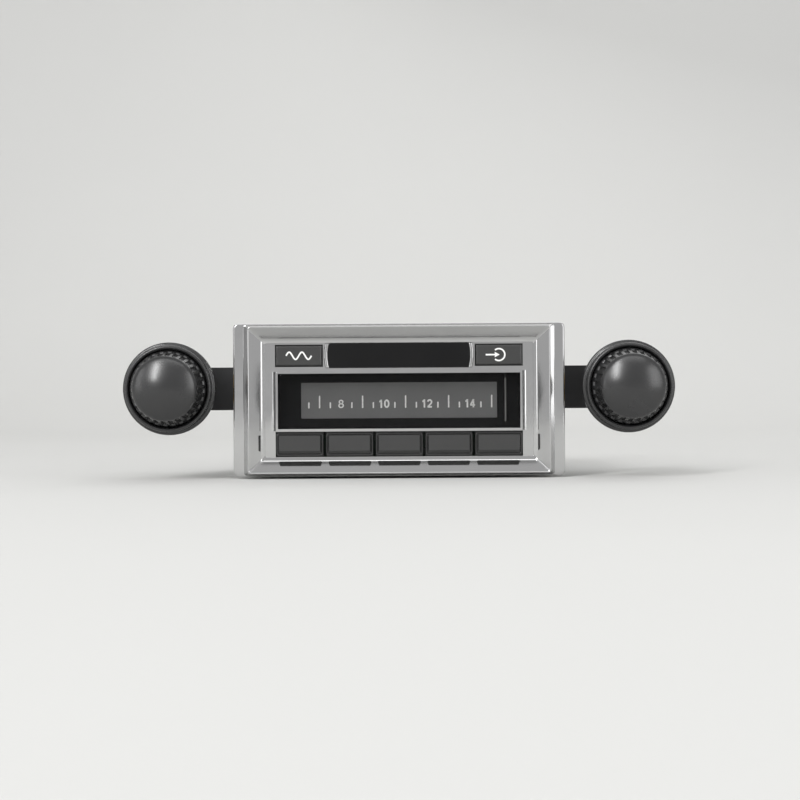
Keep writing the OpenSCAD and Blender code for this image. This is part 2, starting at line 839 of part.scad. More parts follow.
// The black box behind the face, with bosses in its corners and snap wedges outside
module nose_frame() {
    color("#202020")
    difference() {
        at_dash() {
            slab(face_back, front_y)
                difference() {
                    rect(nose_w, nose_h);
                    rect(nose_in_w, nose_in_h);
                }
            for (x = [-1, 1], z = [-1, 1])
                translate([x * boss_x, 0, z * boss_z])
                    rod(boss_r, board_back, front_y);
            snap_places()
                linear_extrude(height = snap_w - 2 * slip_gap, center = true)
                    polygon([[snap_y0 + slip_gap, -nose_wall / 2], [snap_y1, -nose_wall / 2],
                             [snap_y1, 0], [snap_y1 - slip_gap, snap_h], [snap_y0 + slip_gap, slip_gap]]);
        }
        nose_screw_places()
            rod(screw_r + run_gap, front_back - screw_len - 2 * slip_gap, front_back);
    }
}

// The two snap wedges above the nose and the two below it, drawn in depth and height
module snap_places() {
    for (x = [-1, 1], z = [0, 1])
        mirror([0, 0, z])
            translate([x * face_w / 4, 0, nose_h / 2])
                rotate([90, 0, 90])
                    children();
}

// The chromed surround: a flat flange, a raised rim and sloped walls that lead in to the face
module bezel() {
    color("silver")
    at_dash()
    difference() {
        union() {
            slab(-flange_t, 0)
                round_rect(bezel_w, bezel_h, bezel_corner_r);
            tapered_block(rim_w, rim_h, crest_y,
                          rim_w + 2 * rim_outer_run, rim_h + 2 * rim_outer_rise, -flange_t / 2);
            slab(-flange_t / 2, collar_len)
                rect(collar_w, collar_h);
        }
        tapered_block(recess_w + 2 * cut, recess_h + 2 * cut, crest_y - cut, face_w, face_h, slope_y);
        slab(slope_y - face_land, face_y + face_land)
            rect(face_w, face_h);
        slab(face_y, collar_len + cut)
            rect(rebate_w, rebate_h);
        snap_places()
            linear_extrude(height = snap_w, center = true)
                translate([snap_y0, 0])
                    square([snap_y1 - snap_y0, 2 * collar_wall]);
    }
}

// The chromed face with its window, its button openings and the pocket for the name plate
module face_plate() {
    color("silver")
    at_dash()
    difference() {
        union() {
            slab(face_y, face_back)
                rect(nose_w, nose_h);
            translate([0, 0, -window_drop]) {
                slab(rim_y, face_back)
                    rect(window_w + 2 * window_rim, window_h + 2 * window_rim);
                for (side = [0, 1])
                    mirror([side, 0, 0])
                        linear_extrude(height = window_h + 2 * window_rim, center = true)
                            translate([window_w / 2 + window_rim, face_y])
                                cove();
            }
            translate([0, 0, upper_row])
                slab(face_y - plate_bar_rise, face_back)
                    bowed_rect(plate_w + 2 * plate_bar, plate_h, plate_bow_r + plate_bar);
        }
        translate([0, 0, -window_drop]) {
            slab(rim_y - cut, face_back + cut)
                rect(window_w, window_h);
            slab(face_back - lens_tab_t, face_back + cut)
                rect(window_w + 2 * lens_tab, lens_tab_h + 2 * slip_gap);
        }
        translate([0, 0, upper_row])
            slab(face_y - 2 * plate_bar_rise, face_y + plate_pocket)
                bowed_rect(plate_w + 2 * run_gap, plate_h + 2 * run_gap, plate_bow_r + run_gap);
        slab(face_y - cut, face_back + cut) {
            for (side = [-1, 1])
                translate([side * key_x, upper_row])
                    rect(key_w + 2 * button_gap, key_h + 2 * button_gap);
            translate([0, -preset_drop])
                rect(preset_row_w + 2 * button_gap, preset_h + 2 * preset_clear);
        }
    }
}

// A hollow quarter round that rises from the face to the window rim
module cove() {
    difference() {
        translate([-window_rim / 2, -cove_r])
            square([cove_r + window_rim / 2, cove_r + face_t / 2]);
        translate([cove_r, -cove_r])
            circle(r = cove_r);
    }
}

module name_plate() {
    color("#101010")
    at_dash()
        translate([0, 0, upper_row])
            slab(face_y + plate_pocket - plate_thick, face_y + plate_pocket)
                bowed_rect(plate_w, plate_h, plate_bow_r);
}

// A thick clear window with a tab at each end behind the face
module dial_lens() {
    color("lightcyan", 0.4)
    at_dash()
        translate([0, 0, -window_drop]) {
            slab(lens_y, face_back)
                rect(window_w - 2 * slip_gap, window_h - 2 * slip_gap);
            slab(face_back - lens_tab_t, face_back)
                rect(window_w + 2 * lens_tab - 2 * slip_gap, lens_tab_h);
        }
}

// The black plate behind the window, with end blocks that hold the lens tabs
module dial_plate() {
    color("#181818")
    at_dash() {
        slab(dial_y, guide_y)
            translate([-dial_w / 2, -dial_bottom])
                square([dial_w, dial_top + dial_bottom]);
        slab(face_back, dial_y)
            for (side = [-1, 1])
                translate([side * (dial_w - dial_block_w) / 2, -window_drop])
                    rect(dial_block_w, lens_tab_h);
    }
}

module dial_scale() {
    color("dimgray")
    at_dash()
        translate([0, 0, -scale_drop])
            slab(scale_y, dial_y)
                rect(scale_w, scale_h);
}

// A clear slab that spreads the lamps' light, on two legs that stand on the board
module light_guide() {
    color("whitesmoke", 0.6)
    at_dash()
        translate([0, 0, -scale_drop]) {
            slab(guide_y, guide_back)
                rect(scale_w + guide_t, scale_h + guide_t);
            slab(guide_back, board_y)
                for (side = [-1, 1])
                    translate([side * (scale_w - guide_t) / 2, 0])
                        rect(guide_t, scale_h / 2);
        }
}

module control_board() {
    color("darkgreen")
    at_dash()
        slab(board_y, board_back)
            difference() {
                rect(nose_in_w - 6 * slip_gap, nose_in_h - 6 * slip_gap);
                pointer_slot();
            }
}

// One switch behind each button, with a bore that takes the button's stem
module key_switches() {
    color("#303030")
    at_dash()
        slab(switch_y, board_y)
            for (place = stem_places)
                translate(place)
                    difference() {
                        rect(switch_w, switch_w);
                        circle(r = stem_r + run_gap);
                    }
}

module dial_lamps() {
    color("ivory")
    at_dash()
        slab(board_y - lamp_h, board_y)
            for (i = [-1.5 : 1 : 1.5])
                translate([i * scale_w / 5, -scale_drop])
                    rect(2.2 * lamp_h, 2 * lamp_h);
}

// The edge connector on the back of the control board that takes the main board's tongue
module link_socket() {
    color("#282828")
    at_dash()
        translate([0, 0, main_z + board_t / 2 - face_z])
            difference() {
                slab(board_back, board_back + link_len)
                    rect(tongue_w + 3, 2.6 * board_t);
                slab(board_back + link_floor, board_back + link_len + cut)
                    rect(tongue_w + 2 * slip_gap, board_t + 2 * run_gap);
            }
}

module pointer_rail() {
    color("gainsboro")
    at_dash()
        translate([0, rail_y, rail_z])
            cross_rod(rail_r, -rail_tab_x - front_t, rail_tab_x + front_t);
}

// A closed belt between the drum on the tuning shaft and the idler
module pointer_belt() {
    color("#1c1c1c")
    at_dash()
        translate([0, 0, shaft_rise])
            slab(belt_y - belt_w / 2, belt_y + belt_w / 2)
                difference() {
                    belt_outline(belt_pitch_r + belt_t / 2);
                    belt_outline(belt_pitch_r - belt_t / 2);
                }
}

module belt_outline(r) {
    translate([-idler_x, -r])
        square([shaft_x + idler_x, 2 * r]);
    for (x = [-idler_x, shaft_x])
        translate([x, 0])
            circle(r = r);
}

// A shouldered pin riveted in the front plate, with a head that keeps the pulley on
module idler_pin() {
    color("gainsboro")
    at_dash()
        translate([-idler_x, 0, shaft_rise]) {
            rod(idler_pin_r, front_y, drum_back + drum_gap);
            rod(idler_pin_r + 1, front_back, drum_y - face_gap);
            rod(idler_pin_r + 1, drum_back + face_gap, drum_back + drum_gap);
        }
}

// A flanged wheel for the belt
module belt_wheel(bore_r) {
    turned()
        difference() {
            translate([bore_r, drum_y])
                square([drum_flange_r - bore_r, drum_w]);
            translate([drum_groove_r, belt_y - belt_w / 2 - face_gap])
                square([drum_flange_r, belt_w + 2 * face_gap]);
        }
}

module idler_pulley() {
    color("white")
    at_dash()
        translate([-idler_x, 0, shaft_rise])
            belt_wheel(idler_pin_r + run_gap);
}

module drive_drum() {
    color("white")
    at_shaft(1)
        belt_wheel(shaft_r + run_gap);
}

// A block on the rail, clipped to the upper run of the belt, with an arm over the dial plate
module pointer_carriage() {
    front = rail_y - 2 * rail_r;
    back = belt_y + belt_w / 2 + drum_gap;
    low = run_top - belt_t / 2 - drum_gap;
    color("#242424")
    at_dash()
        translate([pointer_park, 0, 0])
            difference() {
                union() {
                    block([-carriage_len / 2, front, low], [carriage_len / 2, back, rail_z + 2 * rail_r]);
                    block([-arm_w / 2, finger_y, arm_z], [arm_w / 2, front + rail_r / 2, arm_top]);
                    block([-needle_w / 2, finger_y, needle_top - needle_len / 4],
                          [needle_w / 2, finger_y + finger_t, arm_top]);
                }
                translate([0, rail_y, rail_z])
                    cross_rod(rail_r + run_gap, -carriage_len, carriage_len);
                block([-carriage_len, belt_y - belt_w / 2 - slip_gap, run_top - belt_t / 2 - slip_gap],
                      [carriage_len, belt_y + belt_w / 2 + slip_gap, run_top + belt_t / 2 + slip_gap]);
            }
}

module pointer_needle() {
    color("lightgrey")
    at_dash()
        block([pointer_park - needle_w / 2, needle_y, needle_top - needle_len],
              [pointer_park + needle_w / 2, finger_y, needle_top]);
}

// A threaded neck that the controls are clamped by
module bushing() {
    difference() {
        rod(bushing_r, -bushing_out, front_back);
        rod(bushing_in_r, -bushing_out - cut, front_back + cut);
    }
}

module volume_bushing() {
    color("goldenrod")
    at_shaft(-1)
        bushing();
}

module tuning_bushing() {
    color("goldenrod")
    at_shaft(1)
        bushing();
}

// On each bushing, a nut on the front plate and one on each side of the dash
module bushing_nuts() {
    color("gainsboro")
    for (side = [-1, 1], y = [-washer_t - nut_t, dash_t + washer_t, front_y - nut_t])
        at_shaft(side)
            difference() {
                translate([0, y, 0])
                    rotate([-90, 0, 0])
                        cylinder(r = nut_r, h = nut_t, $fn = 6);
                rod(bushing_r + run_gap, y - cut, y + nut_t + cut);
            }
}

module bushing_washers() {
    color("silver")
    for (side = [-1, 1], y = [-washer_t, dash_t])
        at_shaft(side)
            difference() {
                rod(washer_r, y, y + washer_t);
                rod(bushing_r + run_gap, y - cut, y + washer_t + cut);
            }
}

// Three solder lugs on the outer side of a control can
module lugs(side, y) {
    for (z = [-1, 0, 1])
        block([side * can_r - lug_len, y, z * lug_pitch - lug_w / 2],
              [side * can_r + lug_len, y + lug_t, z * lug_pitch + lug_w / 2]);
}

// The double control on the left: a front can for the sleeve and a rear can for the shaft
module volume_control() {
    color("darkgray")
    at_shaft(-1)
        difference() {
            union() {
                rod(can_r, front_back, fader_back);
                rod(can_r - 1, fader_back, fader_back + tuning_len);
                lugs(-1, fader_back - 2 * lug_t);
            }
            rod(sleeve_r + run_gap, front_back - cut, sleeve_end + face_gap);
            rod(shaft_r + run_gap, front_back, volume_end + face_gap);
        }
}

module fader_control() {
    color("darkgray")
    at_shaft(1)
        difference() {
            union() {
                rod(can_r, front_back, fader_back);
                lugs(1, fader_back - 2 * lug_t);
            }
            rod(sleeve_r + run_gap, front_back - cut, sleeve_end + face_gap);
            rod(shaft_r + run_gap, front_back, fader_back + cut);
        }
}

module tuning_control() {
    color("darkgray")
    at_shaft(1)
        difference() {
            union() {
                rod(can_r, tuning_y, tuning_y + tuning_len);
                lugs(1, tuning_y + tuning_len - 2 * lug_t);
            }
            rod(shaft_r + run_gap, tuning_y - cut, tuning_end + face_gap);
        }
}

// Two posts that carry the rear can past the drum
module tuning_posts() {
    color("gainsboro")
    for (side = [-1, 1])
        at_shaft(1)
            translate([0, 0, side * (can_r - 1.2 * post_r)])
                rod(post_r, fader_back, tuning_y);
}

module volume_shaft() {
    color("gainsboro")
    at_shaft(-1)
        rod(shaft_r, shaft_tip_y, volume_end);
}

module tuning_shaft() {
    color("gainsboro")
    at_shaft(1)
        rod(shaft_r, shaft_tip_y, tuning_end);
}

module sleeve() {
    difference() {
        rod(sleeve_r, ring_floor, sleeve_end);
        rod(sleeve_in_r, ring_floor - cut, sleeve_end + cut);
    }
}

module tone_sleeve() {
    color("silver")
    at_shaft(-1)
        sleeve();
}

module fader_sleeve() {
    color("silver")
    at_shaft(1)
        sleeve();
}

// A band of a turned profile between two radii and two depths
module band(r0, r1, y0, y1) {
    translate([r0, y0])
        square([r1 - r0, y1 - y0]);
}

// The stepped rear ring, hollow behind, with a round lip that the front knob sits inside
module rear_ring() {
    bore = sleeve_r + run_gap;
    lip_r = (ring_step_r - ring_recess_r) / 2;
    web_back = ring_floor + knob_wall;
    base_y = ring_back - ring_base_len;
    turned() {
        band(bore, ring_r - knob_wall, ring_floor, web_back);
        band(bore, hub_r, ring_floor, ring_back);
        band(ring_recess_r, ring_step_r, ring_front + lip_r, web_back);
        translate([ring_recess_r + lip_r, ring_front + lip_r])
            circle(r = lip_r);
        band(ring_r - knob_wall, ring_r, base_y + ring_edge_r, ring_back);
        band(ring_r - knob_wall, ring_r - ring_edge_r, base_y, ring_back);
        translate([ring_r - ring_edge_r, base_y + ring_edge_r])
            circle(r = ring_edge_r);
    }
}

module tone_ring() {
    color("#181818")
    at_shaft(-1)
        rear_ring();
}

module fader_ring() {
    color("#181818")
    at_shaft(1)
        rear_ring();
}

// The domed front knob: a tapered grip, a round shoulder that runs into the dome, and a hollow back
module front_knob() {
    taper = atan((knob_foot_r - knob_top_r) / knob_grip_len);
    groove_w = PI * knob_top_r / knob_ribs;
    difference() {
        turned()
            knob_profile();
        turned() {
            band(0, shaft_r + run_gap, shaft_tip_y - face_gap, 0);
            band(hub_r, knob_top_r - knob_groove - knob_wall, knob_tip_y + 2 * knob_wall, 0);
        }
        for (i = [0 : knob_ribs - 1])
            rotate([0, i * 360 / knob_ribs, 0])
                translate([knob_top_r - knob_groove, knob_shoulder_y, 0])
                    rotate([0, 0, -taper])
                        translate([0, -knob_shoulder_r, -groove_w / 2])
                            cube([4 * knob_groove, knob_grip_len - knob_foot + knob_shoulder_r, groove_w]);
    }
}

module knob_profile() {
    polygon([[0, knob_tip_y + knob_wall], [knob_top_r, knob_shoulder_y],
             [knob_foot_r, knob_foot_y], [0, knob_foot_y]]);
    translate([knob_top_r - knob_shoulder_r, knob_shoulder_y])
        circle(r = knob_shoulder_r);
    intersection() {
        translate([0, knob_tip_y + knob_dome_r])
            circle(r = knob_dome_r, $fn = 128);
        band(0, dome_edge_r, knob_tip_y, knob_shoulder_y + knob_shoulder_r);
    }
}

module volume_knob() {
    color("#141414")
    at_shaft(-1)
        front_knob();
}

module tuning_knob() {
    color("#141414")
    at_shaft(1)
        front_knob();
}

// A flange behind the face opening and a stem that keeps its travel clear of the board
module button_back(w, opening_h, travel) {
    slab(keep_y, keep_y + keep_t)
        rect(w, opening_h + 2 * keep_lap);
    rod(stem_r, keep_y, board_y - travel - 4 * face_gap);
}

// A wide button: a pad with sloped edges that stands on a lip with round corners
module preset_button(i) {
    front = face_y - preset_out;
    lip_y = face_y - preset_lip_out;
    pad_x = preset_w / 2 - preset_lip;
    pad_z = preset_h / 2 - preset_lip;
    color("#4c4c4c")
    at_dash()
        translate([preset_xs[i], 0, -preset_drop]) {
            slab(lip_y, keep_y)
                round_rect(preset_w, preset_h, preset_corner_r);
            intersection() {
                linear_extrude(height = 2 * pad_z, center = true)
                    polygon([[-pad_x, keep_y], [-pad_x, lip_y], [preset_end_bevel - pad_x, front],
                             [pad_x - preset_end_bevel, front], [pad_x, lip_y], [pad_x, keep_y]]);
                rotate([90, 0, 90])
                    linear_extrude(height = 2 * pad_x, center = true)
                        polygon([[keep_y, -pad_z], [keep_y, pad_z], [lip_y, pad_z],
                                 [front, pad_z - preset_top_bevel], [front, preset_low_bevel - pad_z],
                                 [lip_y, -pad_z]]);
            }
            button_back(preset_w, preset_h + 2 * preset_clear, preset_travel);
        }
}

module preset_button_1() {
    preset_button(0);
}

module preset_button_2() {
    preset_button(1);
}

module preset_button_3() {
    preset_button(2);
}

module preset_button_4() {
    preset_button(3);
}

module preset_button_5() {
    preset_button(4);
}

// A small button with a bevel all round
module upper_button(side) {
    front = face_y - key_out;
    color("#4c4c4c")
    at_dash()
        translate([side * key_x, 0, upper_row]) {
            tapered_block(key_w - 2 * key_bevel, key_h - 2 * key_bevel, front,
                          key_w, key_h, front + key_bevel);
            slab(front + key_bevel, keep_y)
                rect(key_w, key_h);
            button_back(key_w, key_h + 2 * button_gap, key_travel);
        }
}

module band_button() {
    upper_button(-1);
}

module line_button() {
    upper_button(1);
}

module board_post_places() {
    for (x = [-1, 1], y = [main_front + post_inset, main_back - post_inset])
        translate([x * (board_w / 2 - post_inset), y, 0])
            children();
}

// The main board, with a tongue that reaches forward into the control board's socket
module main_board() {
    color("darkgreen")
    difference() {
        union() {
            block([-board_w / 2, main_front, main_z], [board_w / 2, main_back, main_z + board_t]);
            block([-tongue_w / 2, dash_y + board_back + link_floor, main_z],
                  [tongue_w / 2, main_front + 1, main_z + board_t]);
        }
        board_post_places()
            cylinder(r = screw_r + slip_gap, h = case_h);
    }
}

module board_posts() {
    color("gainsboro")
    board_post_places()
        difference() {
            translate([0, 0, sheet_t])
                cylinder(r = screw_head_r + 0.4, h = board_post_h);
            translate([0, 0, main_z - screw_len])
                cylinder(r = screw_r + run_gap, h = 2 * screw_len);
        }
}

module board_screws() {
    color("dimgray")
    board_post_places()
        translate([0, 0, main_z + board_t])
            rotate([-90, 0, 0])
                small_screw(0, screw_len);
}

// The screened tuner with a folded lid and two trimmer holes
module tuner_can() {
    top = main_z + board_t + tuner_h;
    color("silver")
    translate([tuner_x, tuner_y, 0])
        difference() {
            union() {
                block([-tuner_w / 2, -tuner_d / 2, main_z + board_t], [tuner_w / 2, tuner_d / 2, top]);
                block([-tuner_w / 2 - sheet_t / 2, -tuner_d / 2 - sheet_t / 2, top - tuner_h / 4],
                      [tuner_w / 2 + sheet_t / 2, tuner_d / 2 + sheet_t / 2, top + sheet_t / 2]);
            }
            for (x = [-1, 1])
                translate([x * tuner_w / 5, 0, top - tuner_h / 2])
                    cylinder(r = 2, h = tuner_h);
        }
}

module amplifier_chip() {
    color("#202020")
    block([sink_x - amp_w / 2, rear_y - sheet_t - amp_t, main_z + board_t],
          [sink_x + amp_w / 2, rear_y - sheet_t, main_z + board_t + amp_h]);
}

// Two large capacitors for the supply and three small ones
module capacitors() {
    color("midnightblue")
    translate([0, 0, main_z + board_t]) {
        for (i = [0, 1])
            translate([sink_x + (i - 0.5) * 2.6 * big_cap_r, big_cap_y, 0])
                cylinder(r = big_cap_r, h = big_cap_h);
        for (i = [0 : 2])
            translate([sink_x + (i - 1) * 2.6 * small_cap_r, big_cap_y - 2.4 * big_cap_r, 0])
                cylinder(r = small_cap_r, h = big_cap_h / 2);
    }
}

// A finned block on the rear wall, with bare ends for its screws
module heat_sink() {
    color("#3a3a3a")
    difference() {
        union() {
            block([sink_x - sink_w / 2, rear_y, face_z - sink_h / 2],
                  [sink_x + sink_w / 2, rear_y + sink_base, face_z + sink_h / 2]);
            for (i = [0 : fin_count - 1])
                translate([sink_x + (i / (fin_count - 1) - 0.5) * (fin_field - fin_t), 0, 0])
                    block([-fin_t / 2, rear_y, face_z - sink_h / 2],
                          [fin_t / 2, rear_y + sink_base + fin_len, face_z + sink_h / 2]);
        }
        sink_screw_places()
            rod(screw_r + slip_gap, -cut, sink_base + cut);
    }
}

module heat_sink_screws() {
    color("dimgray")
    sink_screw_places()
        small_screw(0, sink_base + screw_len);
}

// A round aerial socket with a shoulder outside the wall and a contact hole in its floor
module antenna_socket() {
    outer_r = antenna_r + antenna_wall;
    color("gainsboro")
    translate([antenna_x, rear_y, upper_socket_z])
        difference() {
            union() {
                rod(outer_r, -socket_in, antenna_depth - socket_floor);
                rod(antenna_shoulder_r, 0, sheet_t);
            }
            rod(antenna_r, -socket_floor, antenna_depth);
            rod(contact_r, -socket_in - cut, 0);
        }
}

// A row of phono sockets, each with a shoulder, a neck through the wall and a contact hole
module phono_sockets() {
    color("gainsboro")
    phono_places()
        difference() {
            union() {
                rod(phono_r + shoulder_w, 0, sheet_t);
                rod(phono_r, 0, phono_len);
                rod(phono_neck_r, -socket_in, sheet_t);
            }
            rod(contact_r, sheet_t, phono_len + cut);
        }
}

// The shroud of the wiring socket, with a flange outside the wall
module harness_socket() {
    out_w = harness_w + 2 * harness_wall;
    out_h = harness_h + 2 * harness_wall;
    color("#262626")
    translate([harness_x, rear_y, upper_socket_z])
        difference() {
            union() {
                slab(-socket_in, harness_depth - socket_floor)
                    rect(out_w, out_h);
                slab(0, sheet_t)
                    rect(out_w + 2 * harness_wall, out_h + 2 * harness_wall);
            }
            slab(-socket_floor, harness_depth)
                rect(harness_w, harness_h);
        }
}

module harness_pins() {
    color("goldenrod")
    translate([harness_x, rear_y, upper_socket_z])
        for (i = [-2 : 2], z = [-1, 1])
            translate([i * harness_w / 6, 0, z * harness_h / 5])
                rod(pin_r, -socket_floor, pin_len - socket_floor);
}

// The support stud on the rear wall, with a hexagon foot outside and a head inside
module rear_stud() {
    color("gainsboro")
    translate([stud_x, rear_y, face_z]) {
        rotate([-90, 0, 0])
            cylinder(r = stud_foot_r, h = stud_foot, $fn = 6);
        rod(stud_r, -sheet_t, stud_foot + stud_len);
        rod(1.5 * stud_r, -sheet_t - stud_foot / 2, -sheet_t);
    }
}

chassis_tray();
top_cover();
cover_screws();
front_plate();
front_screws();
nose_frame();
bezel();
face_plate();
name_plate();
dial_lens();
dial_plate();
dial_scale();
light_guide();
control_board();
key_switches();
dial_lamps();
link_socket();
pointer_rail();
pointer_belt();
idler_pin();
idler_pulley();
pointer_carriage();
pointer_needle();
volume_bushing();
tuning_bushing();
bushing_nuts();
bushing_washers();
volume_control();
fader_control();
tuning_control();
tuning_posts();
volume_shaft();
volume_knob();
tone_sleeve();
tone_ring();
tuning_shaft();
tuning_knob();
drive_drum();
fader_sleeve();
fader_ring();
preset_button_1();
preset_button_2();
preset_button_3();
preset_button_4();
preset_button_5();
band_button();
line_button();
main_board();
board_posts();
board_screws();
tuner_can();
amplifier_chip();
capacitors();
heat_sink();
heat_sink_screws();
antenna_socket();
phono_sockets();
harness_socket();
harness_pins();
rear_stud();
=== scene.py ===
"""Truck radio with a chromed shadow-box bezel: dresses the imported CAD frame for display."""
import json
from math import asin, cos, degrees, hypot, pi, radians, sin, tan

import bmesh
import bpy
from mathutils import Matrix, Vector


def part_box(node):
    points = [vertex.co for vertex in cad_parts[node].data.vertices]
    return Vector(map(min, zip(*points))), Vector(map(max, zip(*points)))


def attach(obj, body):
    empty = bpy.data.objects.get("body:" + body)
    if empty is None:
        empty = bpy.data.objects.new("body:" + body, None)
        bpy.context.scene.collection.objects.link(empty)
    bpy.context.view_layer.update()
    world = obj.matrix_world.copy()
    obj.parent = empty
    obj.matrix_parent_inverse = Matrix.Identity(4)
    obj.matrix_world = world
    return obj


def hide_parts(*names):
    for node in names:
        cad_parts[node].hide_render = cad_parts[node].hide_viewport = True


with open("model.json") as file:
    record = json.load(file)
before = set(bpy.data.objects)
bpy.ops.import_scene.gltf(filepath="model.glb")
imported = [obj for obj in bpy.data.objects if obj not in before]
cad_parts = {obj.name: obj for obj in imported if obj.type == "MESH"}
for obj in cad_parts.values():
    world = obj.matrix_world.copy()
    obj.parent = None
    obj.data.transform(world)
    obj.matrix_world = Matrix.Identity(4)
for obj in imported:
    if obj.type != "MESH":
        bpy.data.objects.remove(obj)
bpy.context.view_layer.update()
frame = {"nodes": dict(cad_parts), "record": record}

bl_info = {
    "name": "Truck radio",
    "version": (1, 0, 0),
    "blender": (4, 5, 0),
    "location": "View3D > Sidebar > Truck radio",
    "description": "Builds the finished surfaces of a shaft-mounted truck radio over its CAD frame",
    "category": "Object",
}

BODIES = frame["record"]["behaviour"]["bodies"]
BODY_OF = {node: body for body, nodes in BODIES.items() for node in nodes}
SLOT_OF = {node: piece.data.materials[0].name for node, piece in frame["nodes"].items()}
MM = 0.001
# Sizes are in millimetres, apart from those of the stage
# Planes along Y of the dash panel that the bezel lies on, and of the rear wall of the case
DASH, REAR_WALL = -66.0, 50.0
# Height of the middle of the face above the floor
FACE_Z = 25.0
# Radius of the bore that passes the inner shaft, and of the hub inside a knob or ring
SHAFT_BORE, HUB = 3.05, 5.0
# How far printed ink stands proud of its surface
INK = 0.02
# Points nearer than this are one point, and faces that turn less than this many degrees are one face
WELD, FLAT = 0.002, 0.3


def linear(code):
    """An sRGB hex colour as linear red, green and blue."""
    parts = [int(code[i:i + 2], 16) / 255 for i in (1, 3, 5)]
    return tuple(c / 12.92 if c <= 0.04045 else ((c + 0.055) / 1.055) ** 2.4 for c in parts)


def span(node):
    """Lowest and highest corner of a CAD node in millimetres."""
    low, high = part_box(node)
    return low / MM, high / MM


def turned(node):
    """Axis (x and z), radius, front and back of a CAD node that was turned about a line along Y."""
    low, high = span(node)
    return (low.x + high.x) / 2, (low.z + high.z) / 2, (high.x - low.x) / 2, low.y, high.y


class RadioSizes(bpy.types.PropertyGroup):
    """Sizes of the details that are finer than the CAD frame."""

    edge: bpy.props.FloatProperty(
        name="Plated edge", description="Radius of the plated edges, in millimetres",
        default=0.14, min=0.02, max=0.3)
    moulded_edge: bpy.props.FloatProperty(
        name="Moulded edge", description="Radius of the edges of the buttons, in millimetres",
        default=0.22, min=0.02, max=0.4)
    ribs: bpy.props.IntProperty(
        name="Knob ribs", description="Number of blocks round the grip of a front knob",
        default=28, min=12, max=40)
    rib_depth: bpy.props.FloatProperty(
        name="Rib depth", description="Depth of the grooves between the ribs, in millimetres",
        default=0.55, min=0.1, max=0.8)
    thread_pitch: bpy.props.FloatProperty(
        name="Thread pitch", description="Pitch of the bushing threads, in millimetres",
        default=0.9, min=0.5, max=1.5)
    mark_pitch: bpy.props.FloatProperty(
        name="Mark pitch", description="Distance between the marks of the dial, in millimetres",
        default=3.456, min=2, max=5)
    mark_width: bpy.props.FloatProperty(
        name="Mark width", description="Width of a printed mark, in millimetres",
        default=0.44, min=0.2, max=1)
    figure_height: bpy.props.FloatProperty(
        name="Figure height", description="Height of the dial figures, in millimetres",
        default=2.7, min=1, max=4)


class RadioFinishes(bpy.types.PropertyGroup):
    """Colours of the surfaces that a user may want to repaint."""

    chrome: bpy.props.FloatVectorProperty(
        name="Chrome", description="Colour of the plated bezel and face",
        subtype="COLOR", min=0, max=1, default=linear("#c8c8c8"))
    knob: bpy.props.FloatVectorProperty(
        name="Knobs", description="Colour of the moulded knobs and rings",
        subtype="COLOR", min=0, max=1, default=linear("#232324"))
    button: bpy.props.FloatVectorProperty(
        name="Buttons", description="Colour of the moulded push buttons",
        subtype="COLOR", min=0, max=1, default=linear("#3b3b3b"))
    scale: bpy.props.FloatVectorProperty(
        name="Dial scale", description="Colour of the printed dial strip",
        subtype="COLOR", min=0, max=1, default=linear("#6c6c6c"))
    ink: bpy.props.FloatVectorProperty(
        name="Print", description="Colour of the printed marks",
        subtype="COLOR", min=0, max=1, default=linear("#f2f2f0"))
    stage: bpy.props.FloatVectorProperty(
        name="Stage", description="Colour of the floor and the backdrop",
        subtype="COLOR", min=0, max=1, default=linear("#d9d9d7"))


def add(tree, kind, sockets=None, stops=None, **settings):
    """Add a node, give it its settings, set or link its sockets, and set the two stops of a ramp."""
    node = tree.nodes.new(kind)
    for key, value in settings.items():
        setattr(node, key, value)
    for key, value in (sockets or {}).items():
        if isinstance(value, bpy.types.NodeSocket):
            tree.links.new(value, node.inputs[key])
        else:
            node.inputs[key].default_value = value
    if stops:
        for element, (place, colour) in zip(node.color_ramp.elements, stops):
            element.position = place
            element.color = (*colour, 1)
    return node


